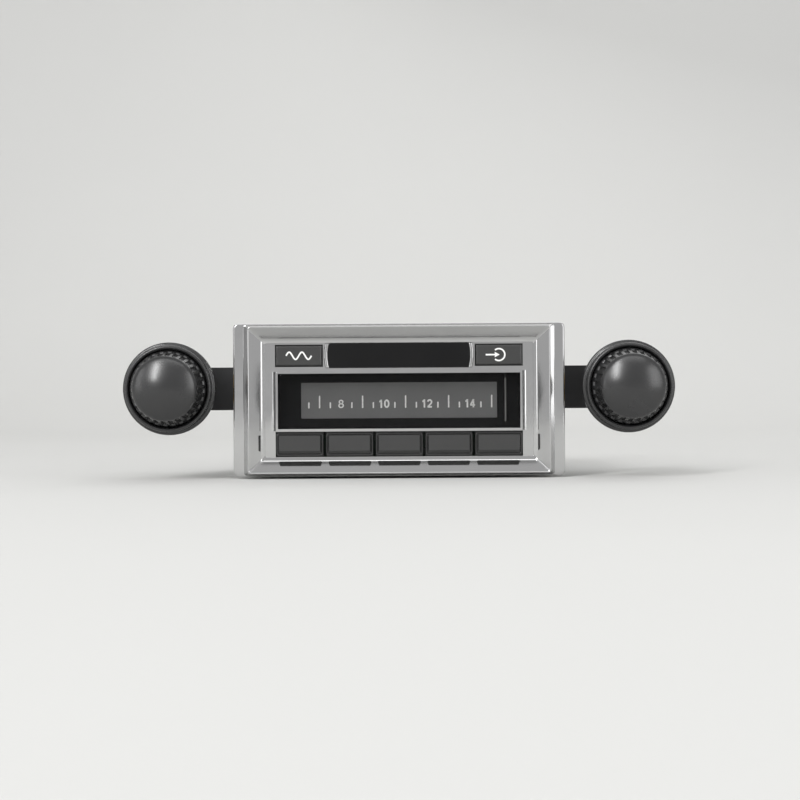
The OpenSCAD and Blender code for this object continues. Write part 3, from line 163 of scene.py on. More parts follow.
def surface(name, light, dark, rough, mottle, grain, stretch=(1, 1, 1), cells=False, **fixed):
    """A material that drifts between two tones and two roughnesses, with a fine relief.

    mottle is the size of the drift in millimetres, grain the size and height of the relief. stretch draws
    both out along an axis, cells breaks the drift into spangles, and fixed sets sockets of the shader.
    """
    material = bpy.data.materials.new(name)
    material.use_nodes = True
    tree = material.node_tree
    tree.nodes.clear()
    where = add(tree, "ShaderNodeTexCoord").outputs["Object"]
    broad = add(tree, "ShaderNodeMapping", {
        "Vector": where, "Scale": [s / (mottle * MM) for s in stretch]}).outputs[0]
    if cells:
        drift = add(tree, "ShaderNodeTexVoronoi", {"Vector": broad, "Scale": 1.0}).outputs["Color"]
        drift = add(tree, "ShaderNodeSeparateColor", {"Color": drift}).outputs[0]
        low, high = 0.0, 1.0
    else:
        drift = add(tree, "ShaderNodeTexNoise", {
            "Vector": broad, "Scale": 1.0, "Detail": 3.0}).outputs[0]
        # Noise seldom leaves the middle of its range
        low, high = 0.3, 0.7
    fine = add(tree, "ShaderNodeMapping", {
        "Vector": where, "Scale": [s / (grain[0] * MM) for s in stretch]}).outputs[0]
    relief = add(tree, "ShaderNodeTexNoise", {
        "Vector": fine, "Scale": 1.0, "Detail": 2.0}).outputs[0]
    normal = add(tree, "ShaderNodeBump", {
        "Height": relief, "Strength": 1.0, "Distance": grain[1] * MM}).outputs[0]
    tone = add(tree, "ShaderNodeValToRGB", {"Fac": drift}, [(low, dark), (high, light)]).outputs[0]
    gloss = add(tree, "ShaderNodeMapRange", {
        "Value": drift, "From Min": low, "From Max": high,
        "To Min": rough[0], "To Max": rough[1]}).outputs[0]
    shader = add(tree, "ShaderNodeBsdfPrincipled", {
        "Base Color": tone, "Roughness": gloss, "Normal": normal, **fixed})
    add(tree, "ShaderNodeOutputMaterial", {"Surface": shader.outputs[0]})
    return material


def shaded(colour, share):
    """A colour at a share of its strength."""
    return tuple(c * share for c in colour)


def make_finishes(colours):
    """One material for each material slot of the record, one for the painted dial and one for the ink."""
    metal = {"Metallic": 1.0}
    return {
        # Chromed ABS, moulded and electroplated: a mirror with a faint ripple from the moulding
        "chromed_plastic": surface(
            "chromed_abs_electroplated", colours.chrome, shaded(colours.chrome, 0.94),
            (0.05, 0.1), 14, (7, 0.006), **metal),
        # Zinc-plated sheet steel, rolled: soft grey spangles that catch the light each their own way
        "plated_steel": surface(
            "zinc_plated_steel_rolled", linear("#b4b6b7"), linear("#a9abac"),
            (0.32, 0.42), 4, (0.8, 0.004), cells=True, **metal),
        # Powder-coated steel: satin black with the fine orange peel of the cured powder
        "black_steel": surface(
            "powder_coated_steel", linear("#262628"), linear("#1d1d1f"),
            (0.42, 0.55), 9, (0.45, 0.02)),
        # Zinc-plated machine screws: bright, a little warm, with tumbling marks
        "screw_steel": surface(
            "zinc_plated_screw_steel", linear("#c4c2bb"), linear("#a9a7a0"),
            (0.22, 0.4), 1.5, (0.3, 0.004), **metal),
        # Turned free-cutting steel: fine tool lines round the shafts
        "bright_steel": surface(
            "turned_steel", linear("#c2c2c3"), linear("#a8a8aa"),
            (0.18, 0.34), 2, (0.25, 0.004), stretch=(0.1, 1, 0.1), **metal),
        # Nickel-plated brass and steel, barrel plated: warm silver with soft gloss
        "nickel_plate": surface(
            "nickel_plate_barrel_plated", linear("#c8c4ba"), linear("#b2ada2"),
            (0.16, 0.3), 4, (0.5, 0.003), **metal),
        # Turned brass: yellow metal with fine tool lines
        "bushing_brass": surface(
            "turned_brass", linear("#c6a664"), linear("#a68748"),
            (0.22, 0.38), 2, (0.25, 0.004), stretch=(0.2, 1, 0.2), **metal),
        # Black ABS from a spark-eroded mould: matt black with a fine even grain
        "black_moulding": surface(
            "black_abs_moulded", linear("#17171a"), linear("#111113"),
            (0.45, 0.6), 6, (0.35, 0.012), IOR=1.38),
        # Black phenolic moulding, tumbled smooth: satin gloss with broad soft highlights
        "knob_black": surface(
            "black_phenolic_polished", colours.knob, shaded(colours.knob, 0.8),
            (0.25, 0.29), 9, (1.2, 0.002), IOR=1.68),
        # Gloss black enamel on the name strip: deep black with sharp reflections
        "plate_black": surface(
            "black_enamel_sprayed", linear("#0c0c0d"), linear("#080809"),
            (0.06, 0.12), 12, (3, 0.003), IOR=1.4),
        # Grey ABS push buttons, fine satin texture worn a little smoother in places
        "button_grey": surface(
            "grey_abs_satin_moulded", colours.button, shaded(colours.button, 0.93),
            (0.19, 0.23), 9, (0.4, 0.003), IOR=1.54),
        # Grey ink screen printed on polyester: even tone with the faint grain of the screen
        "scale_grey": surface(
            "screen_printed_polyester", colours.scale, shaded(colours.scale, 0.9),
            (0.5, 0.6), 8, (0.4, 0.004)),
        # Matt black paint, sprayed on the dial carrier: a rough film that swallows light behind the window
        "dial_black": surface(
            "black_matt_paint_sprayed", linear("#101012"), linear("#0c0c0d"),
            (0.75, 0.85), 6, (0.3, 0.01), IOR=1.28),
        # Grey lacquer on the pointer: plain satin
        "pointer_white": surface(
            "grey_lacquer_sprayed", linear("#7c7c7a"), linear("#6d6d6b"),
            (0.35, 0.45), 2, (0.5, 0.003)),
        # Smoke-tinted acrylic window, polished: dark clear sheet with sharp reflections
        "clear_acrylic": surface(
            "smoked_acrylic_polished", linear("#0a0a0b"), linear("#070708"),
            (0.02, 0.05), 20, (12, 0.002), Alpha=0.14, IOR=1.49),
        # Frosted acrylic light guide: milky, with a blasted surface
        "frosted_acrylic": surface(
            "frosted_acrylic_blasted", linear("#e4e6e6"), linear("#d4d7d8"),
            (0.5, 0.65), 3, (0.2, 0.01), IOR=1.49),
        # Acetal pulleys, machined: waxy white
        "pulley_white": surface(
            "white_acetal_machined", linear("#e2e0d8"), linear("#d3d0c6"),
            (0.38, 0.5), 3, (0.25, 0.006)),
        # Moulded rubber belt: matt charcoal
        "belt_rubber": surface(
            "black_rubber_moulded", linear("#202020"), linear("#171717"),
            (0.7, 0.85), 2, (0.3, 0.015)),
        # Glass-epoxy board under solder mask: deep green gloss over the weave of the glass cloth
        "board_green": surface(
            "glass_epoxy_board_masked", linear("#12301f"), linear("#0c2316"),
            (0.25, 0.38), 3, (0.5, 0.008), cells=True),
        # Lamp caps of cast epoxy: ivory and slightly milky
        "lamp_ivory": surface(
            "ivory_epoxy_cast", linear("#efe6cc"), linear("#e2d7b8"),
            (0.3, 0.4), 2, (0.4, 0.004)),
        # Moulded epoxy chip body: dull black with a fine filler grain
        "chip_black": surface(
            "black_epoxy_moulded", linear("#191919"), linear("#131313"),
            (0.5, 0.65), 2, (0.2, 0.01)),
        # Shrunk vinyl sleeves: satin blue
        "capacitor_blue": surface(
            "blue_vinyl_shrunk", linear("#1c3a63"), linear("#152d4e"),
            (0.28, 0.4), 4, (0.8, 0.004)),
        # Extruded aluminium: pale grey with die lines along the fins
        "sink_aluminium": surface(
            "aluminium_extruded", linear("#b4b6b8"), linear("#989b9e"),
            (0.3, 0.45), 2.2, (0.4, 0.006), stretch=(1, 1, 0.04), **metal),
        # Screen-printed epoxy ink: flat off-white, a little thin at its edges
        "ink": surface(
            "white_epoxy_ink_printed", colours.ink, shaded(colours.ink, 0.9),
            (0.5, 0.62), 1.2, (0.25, 0.004)),
    }


# Filled by main, once the colours are registered
FINISHES = {}


def finish_piece(bm, name, body, finish, nodes=(), sharp=32):
    """Turn millimetre mesh data into a piece that rides on its body and stands for its CAD nodes.

    Edges that turn more than sharp degrees keep a crease.
    """
    bmesh.ops.recalc_face_normals(bm, faces=bm.faces)
    bmesh.ops.scale(bm, vec=(MM, MM, MM), verts=bm.verts)
    for face in bm.faces:
        face.smooth = True
    for edge in bm.edges:
        edge.smooth = edge.is_manifold and edge.calc_face_angle() < radians(sharp)
    mesh = bpy.data.meshes.new(name)
    bm.to_mesh(mesh)
    bm.free()
    if "custom_normal" in mesh.attributes:
        mesh.attributes.remove(mesh.attributes["custom_normal"])
    mesh.materials.append(FINISHES[finish])
    piece = bpy.data.objects.new(name, mesh)
    bpy.context.scene.collection.objects.link(piece)
    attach(piece, body)
    if nodes:
        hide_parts(*nodes)
    # Flat faces keep their own direction, so that only the rounded edges bend a reflection
    shading = piece.modifiers.new("flat_faces", "WEIGHTED_NORMAL")
    shading.keep_sharp = True


def stand_for(node, bm, sharp=32):
    """Finish mesh data as the piece that stands for a CAD node, in the finish of its slot."""
    slot = SLOT_OF[node]
    finish_piece(bm, f"{node}_finished", BODY_OF[node], slot, [node], sharp)


def cad_copy(node):
    """The mesh of a CAD node in millimetres, with its flat faces whole again."""
    bm = bmesh.new()
    bm.from_mesh(frame["nodes"][node].data)
    bmesh.ops.scale(bm, vec=(1 / MM, 1 / MM, 1 / MM), verts=bm.verts)
    bmesh.ops.remove_doubles(bm, verts=bm.verts, dist=WELD)
    bmesh.ops.dissolve_limit(bm, angle_limit=radians(FLAT), verts=bm.verts, edges=bm.edges)
    return bm


def round_edges(bm, radius, steps, only=None):
    """Round the edges that turn more than 28 degrees, or those of them that only picks."""
    edges = [e for e in bm.edges if e.is_manifold and e.calc_face_angle() > radians(28)]
    if only:
        edges = [e for e in edges if only(e)]
    bmesh.ops.bevel(bm, geom=edges, offset=radius, segments=steps, profile=0.5,
                    affect="EDGES", clamp_overlap=True)


def soften(node, radius, steps=2):
    """Stand a copy of a CAD node in its place, its edges rounded as moulded, plated or deburred."""
    bm = cad_copy(node)
    round_edges(bm, radius, steps)
    stand_for(node, bm)


def skin(bm, a, b):
    """Faces all round between two rings of points with the same count."""
    count = len(a)
    for k in range(count):
        m = (k + 1) % count
        bm.faces.new([a[k], a[m], b[m], b[k]])


def lathe(bm, profile, x, z, turns, shape=None, closed=True):
    """Turn a profile of (radius, y) points about the line through (x, z) along Y.

    turns is a number of steps or a list of angles, and shape may change a radius by its y and angle.
    """
    angles = turns if isinstance(turns, list) else [2 * pi * k / turns for k in range(turns)]
    rings = []
    for r, y in profile:
        if r < 1e-6:
            rings.append([bm.verts.new((x, y, z))])
            continue
        radii = [shape(r, y, a) if shape else r for a in angles]
        rings.append([bm.verts.new((x + d * cos(a), y, z + d * sin(a))) for d, a in zip(radii, angles)])
    count = len(angles)
    last = len(rings) if closed else len(rings) - 1
    for n in range(last):
        a, b = rings[n], rings[(n + 1) % len(rings)]
        for k in range(count):
            m = (k + 1) % count
            # A ring that is one point on the axis gives triangles
            face = [a[k % len(a)], a[m % len(a)], b[m % len(b)], b[k % len(b)]]
            face = list(dict.fromkeys(face))
            if len(face) > 2:
                bm.faces.new(face)


def arc(cx, cy, r, start, end, steps):
    """Points of an arc in the (radius, y) plane, in degrees from the +radius side towards -y."""
    turns = [radians(start + (end - start) * k / steps) for k in range(steps + 1)]
    return [(cx + r * cos(t), cy - r * sin(t)) for t in turns]


def bow(cx, cz, rx, rz, start, end, steps=16):
    """Points of an elliptic arc in the (x, z) plane, angles in degrees."""
    turns = [radians(start + (end - start) * k / steps) for k in range(steps + 1)]
    return [(cx + rx * cos(t), cz + rz * sin(t)) for t in turns]


def rectangle(x0, x1, z0, z1):
    """Outline of a rectangle, as (x, z) points."""
    return [(x0, z0), (x1, z0), (x1, z1), (x0, z1)]


def rounded(half_w, half_h, r, steps=6):
    """Outline of a rectangle with round corners, as (x, z) points."""
    points = []
    for k, (sx, sz) in enumerate(((1, 1), (-1, 1), (-1, -1), (1, -1))):
        for n in range(steps + 1):
            a = radians(90 * k + 90 * n / steps)
            points.append((sx * (half_w - r) + r * cos(a), sz * (half_h - r) + r * sin(a)))
    return points


def prism(bm, outline, y0, y1):
    """A flat sheet with an (x, z) outline between two depths."""
    front, back = ([bm.verts.new((x, y, z)) for x, z in outline] for y in (y0, y1))
    for face in (front, back[::-1]):
        bm.faces.new(face)
    skin(bm, back, front)


def loft(bm, sections, x, z):
    """A closed skin over rounded rectangles: half width, half height, corner radius and depth of each."""
    rings = [[bm.verts.new((x + u, y, z + w)) for u, w in rounded(half_w, half_h, r)]
             for half_w, half_h, r, y in sections]
    for a, b in zip(rings, rings[1:] + rings[:1]):
        skin(bm, a, b)


def stroke(bm, points, width, y0, y1, closed=False):
    """A printed line of one width along (x, z) points, between two depths."""
    count = len(points)
    sides = []
    for k, (x, z) in enumerate(points):
        before, after = (k - 1, k + 1) if closed else (max(k - 1, 0), min(k + 1, count - 1))
        x0, z0 = points[before]
        x1, z1 = points[after % count]
        reach = hypot(x1 - x0, z1 - z0)
        nx, nz = -(z1 - z0) / reach * width / 2, (x1 - x0) / reach * width / 2
        around = ((x + nx, y0, z + nz), (x - nx, y0, z - nz), (x - nx, y1, z - nz), (x + nx, y1, z + nz))
        sides.append([bm.verts.new(v) for v in around])
    last = count if closed else count - 1
    for k in range(last):
        skin(bm, sides[k], sides[(k + 1) % count])
    if not closed:
        bm.faces.new(sides[0][::-1])
        bm.faces.new(sides[-1])


def islands(node):
    """The separate solids of a CAD node, each as a list of its points in millimetres."""
    bm = bmesh.new()
    bm.from_mesh(frame["nodes"][node].data)
    bmesh.ops.remove_doubles(bm, verts=bm.verts, dist=WELD * MM)
    seen, found = set(), []
    for first in bm.verts:
        if first in seen:
            continue
        seen.add(first)
        reach, group = [first], []
        while reach:
            vert = reach.pop()
            group.append(vert.co / MM)
            fresh = {edge.other_vert(vert) for edge in vert.link_edges} - seen
            seen |= fresh
            reach += fresh
        found.append(group)
    bm.free()
    return found


def corners(points):
    """Lowest and highest corner of a list of points."""
    return [Vector([pick(p[i] for p in points) for i in range(3)]) for pick in (min, max)]


def thread(r, pitch, depth, start, end):
    """Radius of a right-hand V thread that fades out at its two ends."""
    def shape(radius, y, angle):
        if radius < r - 1e-6:
            return radius
        turn = (y / pitch - angle / (2 * pi)) % 1
        fade = max(0.0, min(1.0, (y - start) / pitch, (end - y) / pitch))
        return radius - depth * abs(2 * turn - 1) * fade
    return shape


def ribbed(cuts, fall, step, depth, start, end, inner):
    """Radius of a grip with ribs between two depths. What lies about the inner radius stays round."""
    run_in, run_out = 0.7, 0.2

    def shape(radius, y, angle):
        if radius <= inner + 0.3 or not start < y <= end:
            return radius
        share = (angle % step) / step
        k = max(n for n, c in enumerate(cuts) if c <= share + 1e-6)
        run = min(1.0, (y - start) / run_in) * min(1.0, (end - y) / run_out)
        return radius - depth * fall[k] * run
    return shape


def cross_outline(arm, half):
    """Outline of a cross recess with softened arm ends, counter-clockwise."""
    ease = 0.12
    tips = [(arm - ease, -half), (arm, ease - half), (arm, half - ease), (arm - ease, half), (half, half)]
    spins = [pi / 2 * k for k in range(4)]
    return [(x * cos(a) - y * sin(a), x * sin(a) + y * cos(a)) for a in spins for x, y in tips]


def pan_screw(bm, place, head_r, head_h, shank_r, length):
    """A pan-head screw with a cross recess. place maps its own +Z, out of the head, into the frame."""
    start = len(bm.verts)
    turns = [2 * pi * k / 40 for k in range(40)]
    # The head rises straight, then rolls over to a flat top that holds the recess
    flat, roll = 0.62 * head_r, 0.7 * head_h
    rows = [(0.7 * shank_r, -length), (shank_r, 0.3 * shank_r - length), (shank_r, 0), (head_r, 0)]
    rows += [(flat + (head_r - flat) * cos(radians(a)), head_h - roll + roll * sin(radians(a)))
             for a in (0, 25, 50, 72, 90)]
    rings = [[bm.verts.new((r * cos(a), r * sin(a), h)) for a in turns] for r, h in rows]
    bm.faces.new(rings[0][::-1])
    for low, high in zip(rings, rings[1:]):
        skin(bm, low, high)
    # The recess narrows to its floor, in shares of the head
    arm, half, narrow, floor_h = 0.55 * head_r, 0.13 * head_r, 0.55, 0.35 * head_h
    mouth = [bm.verts.new((x, y, head_h)) for x, y in cross_outline(arm, half)]
    floor = [bm.verts.new((narrow * v.co.x, narrow * v.co.y, floor_h)) for v in mouth]
    skin(bm, floor, mouth)
    bm.faces.new(floor)
    edges = []
    for ring in (rings[-1], mouth):
        edges += [bm.edges.get(pair) for pair in zip(ring, ring[1:] + ring[:1])]
    bmesh.ops.triangle_fill(bm, use_beauty=True, use_dissolve=False, edges=edges)
    bm.verts.ensure_lookup_table()
    bmesh.ops.transform(bm, matrix=place, verts=bm.verts[start:])


# Centre lines of the plain dial figures in a box one unit high: (is a closed loop, points)
FIGURES = {
    "0": [(True, bow(0.33, 0.5, 0.235, 0.41, 0, 345, 23))],
    "1": [(False, [(0.31, 0.0), (0.31, 0.98)]), (False, [(0.07, 0.72), (0.2, 0.79), (0.3, 0.92)])],
    "2": [(False, bow(0.32, 0.67, 0.225, 0.24, 170, -38) + [(0.11, 0.1)]),
          (False, [(0.06, 0.085), (0.58, 0.085)])],
    "4": [(False, [(0.41, 0.0), (0.41, 0.98)]), (False, [(0.4, 0.93), (0.07, 0.31)]),
          (False, [(0.04, 0.29), (0.6, 0.29)])],
    "8": [(True, bow(0.34, 0.73, 0.215, 0.195, 0, 345, 23)),
          (True, bow(0.34, 0.3, 0.26, 0.225, 0, 345, 23))],
}
FIGURE_WIDTH = {"0": 0.66, "1": 0.48, "2": 0.66, "4": 0.66, "8": 0.68}


def figure(bm, text, height, x, z, y0, y1):
    """A plain number, drawn with a bold even line and centred on x, standing on z."""
    # Shares of the height: the gap between figures, the bold line, and the finer line of an 8
    gap, bold, fine = 0.14, 0.19, 0.15
    at = -(sum(FIGURE_WIDTH[c] for c in text) + gap * (len(text) - 1)) / 2
    for c in text:
        weight = fine if c == "8" else bold
        for closed, line in FIGURES[c]:
            points = [(x + (at + u) * height, z + v * height) for u, v in line]
            stroke(bm, points, weight * height, y0, y1, closed)
        at += FIGURE_WIDTH[c] + gap


def wave_sign(bm, x, z, y0, y1):
    """A plain wavy line."""
    reach, step, height, rate, width = 4.05, 0.15, 1.15, 1.55, 0.5
    runs = [step * k - reach for k in range(55)]
    stroke(bm, [(x + t, z + height * sin(t * rate)) for t in runs], width, y0, y1)


def inlet_sign(bm, x, z, y0, y1):
    """A plain arrow that points into an open arc."""
    radius, width, tail, neck, tip, barb = 1.9, 0.5, 4.2, 1.3, 0.3, 0.85
    half = width / 2
    stroke(bm, bow(x, z, radius, radius, -130, 130, 40), width, y0, y1)
    prism(bm, [(x - tail, z - half), (x - neck, z - half), (x - neck, z - barb), (x + tip, z),
               (x - neck, z + barb), (x - neck, z + half), (x - tail, z + half)], y0, y1)


# Tone of the studio round the set, which the world and the far paper share
STUDIO = {"Color": (*linear("#d2d2d2"), 1), "Strength": 0.9}
# What the lamps aim at: the face, and the middle of the case
FACE_AIM, CASE_AIM = (0.0, -0.06, 0.03), (0.0, 0.0, 0.03)
# Place, aim, width and height of each lamp in metres, and its power in watts
LAMPS = {
    "key_softbox": ((-0.85, -1.75, 1.15), FACE_AIM, 0.3, 1.2, 23.0),
    "right_softbox": ((1.2, -1.14, 0.45), FACE_AIM, 0.6, 1.0, 4.8),
    "left_strip": ((-1.32, -0.94, 0.45), FACE_AIM, 0.28, 1.0, 2.1),
    "top_strip": ((0.0, -0.55, 0.72), FACE_AIM, 0.9, 0.16, 1.0),
    "rear_softbox": ((0.25, 0.75, 0.8), CASE_AIM, 1.0, 0.8, 2.6),
}


def melt_far(paper):
    """Far from the set the paper melts into the tone of the studio, as the eye, metal and glass see it."""
    starts, ends = 0.9, 2.4
    tree = paper.node_tree
    surface_in = tree.nodes["Material Output"].inputs["Surface"]
    matt = surface_in.links[0].from_socket
    place = add(tree, "ShaderNodeNewGeometry").outputs["Position"]
    reach = add(tree, "ShaderNodeVectorMath", {0: place}, operation="LENGTH").outputs["Value"]
    far = add(tree, "ShaderNodeMapRange", {
        "Value": reach, "From Min": starts, "From Max": ends}, interpolation_type="SMOOTHSTEP").outputs[0]
    rays = add(tree, "ShaderNodeLightPath").outputs
    seen = rays["Is Camera Ray"]
    for ray in ("Is Glossy Ray", "Is Transmission Ray"):
        seen = add(tree, "ShaderNodeMath", {0: seen, 1: rays[ray]}, operation="MAXIMUM").outputs[0]
    share = add(tree, "ShaderNodeMath", {0: far, 1: seen}, operation="MULTIPLY").outputs[0]
    tone = add(tree, "ShaderNodeEmission", STUDIO).outputs[0]
    melt = add(tree, "ShaderNodeMixShader", {0: share, 1: matt, 2: tone})
    tree.links.new(melt.outputs[0], surface_in)


class RadioStage(bpy.types.Operator):
    """Add the floor, the backdrop, the lamps and the camera."""

    bl_idname = "truck_radio.stage"
    bl_label = "Stage"

    def execute(self, context):
        scene = context.scene
        # The sweep in metres: a flat floor, a quarter-round rise and a straight back
        half_w, front, rise, back, top = 7.0, -7.0, 0.5, 1.2, 2.2
        turns = [radians(a) for a in range(6, 91, 6)]
        sweep = [(front, 0.0), (back - rise, 0.0)]
        sweep += [(back - rise + rise * sin(a), rise - rise * cos(a)) for a in turns]
        sweep += [(back, top)]
        bm = bmesh.new()
        rows = [[bm.verts.new((x, y, z)) for x in (-half_w, half_w)] for y, z in sweep]
        for a, b in zip(rows, rows[1:]):
            bm.faces.new([a[0], a[1], b[1], b[0]]).smooth = True
        mesh = bpy.data.meshes.new("floor_sweep")
        bm.to_mesh(mesh)
        bm.free()
        # Matt seamless paper: pale, with a faint tooth that keeps the contact shadow soft
        pale = tuple(scene.radio_finishes.stage)
        paper = surface("paper_sweep_matt", pale, shaded(pale, 0.985), (0.85, 0.95), 180, (1.5, 0.02))
        melt_far(paper)
        mesh.materials.append(paper)
        floor = bpy.data.objects.new("floor_sweep", mesh)
        scene.collection.objects.link(floor)

        world = bpy.data.worlds.new("studio")
        world.use_nodes = True
        tree = world.node_tree
        tree.nodes.clear()
        glow = add(tree, "ShaderNodeBackground", STUDIO)
        add(tree, "ShaderNodeOutputWorld", {"Surface": glow.outputs[0]})
        scene.world = world

        for name, (place, aim, width, height, power) in LAMPS.items():
            lamp = bpy.data.lights.new(name, "AREA")
            lamp.shape = "RECTANGLE"
            lamp.size, lamp.size_y, lamp.energy = width, height, power
            holder = bpy.data.objects.new(name, lamp)
            holder.location = place
            holder.rotation_euler = (Vector(aim) - Vector(place)).to_track_quat("-Z", "Y").to_euler()
            scene.collection.objects.link(holder)

        # Square to the face and level, with a slight roll: angles in degrees
        field, roll = 24.1, -0.35
        camera = bpy.data.cameras.new("camera")
        camera.sensor_width = 36
        camera.lens = camera.sensor_width / 2 / tan(radians(field) / 2)
        camera.clip_start = 0.01
        viewer = bpy.data.objects.new("camera", camera)
        viewer.location = (0.0003, -0.666, 0.0249)
        level, tilt = Matrix.Rotation(radians(90), 4, "X"), Matrix.Rotation(radians(roll), 4, "Z")
        viewer.rotation_euler = (level @ tilt).to_euler()
        scene.collection.objects.link(viewer)
        scene.camera = viewer
        scene.view_settings.view_transform = "Standard"
        return {"FINISHED"}


class RadioFrameFinish(bpy.types.Operator):
    """Give every CAD node that stays the finish of its material slot."""

    bl_idname = "truck_radio.frame_finish"
    bl_label = "Frame finish"

    def execute(self, context):
        for node, slot in SLOT_OF.items():
            finish = "dial_black" if node == "dial_plate" else slot
            for place in frame["nodes"][node].material_slots:
                place.material = FINISHES[finish]
        return {"FINISHED"}


class RadioFace(bpy.types.Operator):
    """Draw the plated front of the bezel and round the edges of the face and the name strip."""

    bl_idname = "truck_radio.face"
    bl_label = "Bezel and face"

    def execute(self, context):
        edge = context.scene.radio_sizes.edge
        # The collar with its snap slots is the CAD solid; the plated front is drawn over its own sections
        bm = cad_copy("bezel")
        bmesh.ops.delete(bm, context="FACES", geom=[
            f for f in bm.faces if max(v.co.y for v in f.verts) < DASH + 0.05])
        bmesh.ops.bridge_loops(bm, edges=[e for e in bm.edges if e.is_boundary])
        # Each section: half width, half height, corner radius, and depth from the dash
        flange = [
            (47.6, 22.6, 0.4, 0.0), (52.85, 24.35, 1.5, 0.0), (53.0, 24.5, 1.6, -0.15),
            (53.0, 24.5, 1.6, -0.9), (52.95, 24.47, 1.56, -1.17), (52.79, 24.4, 1.5, -1.4),
            (52.57, 24.31, 1.4, -1.55), (52.3, 24.22, 1.3, -1.6)]
        rise = [(49.78, 24.12, 1.0, -1.6), (49.62, 24.03, 1.0, -1.68), (49.55, 23.98, 1.0, -1.85)]
        crest = [
            (48.15, 23.42, 0.9, -5.75), (48.08, 23.37, 0.88, -5.89), (47.98, 23.28, 0.85, -5.97),
            (47.88, 23.18, 0.82, -6.0), (47.76, 23.06, 0.8, -5.97), (47.64, 22.94, 0.78, -5.88)]
        # Concave foot of the slope, from the slope to a lip that lies over the face
        foot_r, lip_w, lip_h, lip_y = 1.95, 42.96, 18.39, -2.2
        bends = [radians(a) for a in range(45, -1, -5)]
        runs = [(foot_r * sin(a), lip_y - foot_r * (1 - cos(a))) for a in bends]
        foot = [(lip_w + d, lip_h + d, 0.62, y) for d, y in runs]
        lip = [(lip_w - d, lip_h - d, 0.55, y) for d, y in ((0.07, -2.17), (0.09, -2.1), (0.09, -1.62))]
        inside = [(46.0, 21.0, 0.4, -1.62), (46.4, 21.4, 0.4, -0.1)]
        sections = flange + rise + crest + foot + lip + inside
        loft(bm, [(w, h, r, DASH + y) for w, h, r, y in sections], 0.0, FACE_Z)
        stand_for("bezel", bm)

        bm = cad_copy("face_plate")
        # The two bars at the ends of the name strip are nearly half round
        bar_r, bar_top, bar_foot = 0.5, DASH - 2.2, FACE_Z + 10
        round_edges(bm, bar_r, 5, only=lambda e: all(
            abs(v.co.y - bar_top) < 0.01 and v.co.z > bar_foot for v in e.verts))
        round_edges(bm, edge, 3)
        stand_for("face_plate", bm)

        soften("name_plate", edge)
        return {"FINISHED"}


class RadioDial(bpy.types.Operator):
    """Fit the window, and print the marks and plain figures on the dial strip."""

    bl_idname = "truck_radio.dial"
    bl_label = "Dial"

    def execute(self, context):
        sizes = context.scene.radio_sizes
        low, high = span("dial_lens")
        mid_z, half_h, back = (low.z + high.z) / 2, (high.z - low.z) / 2, high.y
        opening, slack, ear, ear_h = 77.2, 0.15, 0.9, 12.0
        half_w = opening / 2 - slack
        # The polished front rolls over at its edges: wide at the two ends, narrow along the top and bottom
        roll_x, roll_z, roll_y = 1.8, 0.7, 0.8
        rings = [(half_w, half_h, back - ear)]
        for a in range(0, 91, 10):
            c, s = 1 - cos(radians(a)), 1 - sin(radians(a))
            rings.append((half_w - roll_x * c, half_h - roll_z * c, low.y + roll_y * s))
        bm = bmesh.new()
        loops = [[bm.verts.new((u, y, mid_z + v)) for u, v in rectangle(-w, w, -h, h)] for w, h, y in rings]
        for a, b in zip(loops, loops[1:]):
            skin(bm, a, b)
        bm.faces.new(loops[0][::-1])
        bm.faces.new(loops[-1])
        for side in (-1, 1):
            outline = rectangle(side * half_w, side * high.x, mid_z - ear_h / 2, mid_z + ear_h / 2)
            prism(bm, outline, back - ear, back)
        finish_piece(bm, "dial_window", "radio", "clear_acrylic", ["dial_lens"])

        front = span("dial_scale")[0].y
        y0, y1 = front - INK, front + INK
        first, base, marks, tall, short = -29.0, FACE_Z - 2.6, 18, 3.97, 1.86
        half = sizes.mark_width / 2
        bm = bmesh.new()
        # The marks come in fours: short, tall, short, and a number in the place of the fourth
        for i in range(marks):
            x = first + sizes.mark_pitch * i
            if i % 4 == 3:
                figure(bm, str(8 + 2 * (i // 4)), sizes.figure_height, x, base, y0, y1)
                continue
            height = tall if i % 4 == 1 else short
            prism(bm, rectangle(x - half, x + half, base, base + height), y0, y1)
        finish_piece(bm, "dial_marks", "radio", "ink")
        return {"FINISHED"}


class RadioButtons(bpy.types.Operator):
    """Round the moulded edges of the push buttons and print a plain sign on the two upper ones."""

    bl_idname = "truck_radio.buttons"
    bl_label = "Buttons"

    def execute(self, context):
        edge = context.scene.radio_sizes.moulded_edge
        # A rounded bead runs round the front of each wide button
        bead, corner, half_w, half_h = 0.25, 0.9, 14.95 / 2, 7.2 / 2
        row_z, lip = FACE_Z - 14.1, DASH - 2.62
        turns = [radians(a) for a in range(0, 360, 30)]
        runs = [(bead * (1 - cos(a)), lip - bead * sin(a)) for a in turns]
        sections = [(half_w - d, half_h - d, corner - d, y) for d, y in runs]
        for i in range(1, 6):
            node = f"preset_button_{i}"
            low, high = span(node)
            bm = cad_copy(node)
            round_edges(bm, edge, 3)
            loft(bm, sections, (low.x + high.x) / 2, row_z)
            stand_for(node, bm)
        sign_z = FACE_Z + 14.2
        for name, draw in (("band", wave_sign), ("line", inlet_sign)):
            node = f"{name}_button"
            soften(node, edge, 3)
            low, high = span(node)
            bm = bmesh.new()
            draw(bm, (low.x + high.x) / 2, sign_z, low.y - INK, low.y + 2 * INK)
            finish_piece(bm, f"{name}_button_sign", name, "ink")
        return {"FINISHED"}


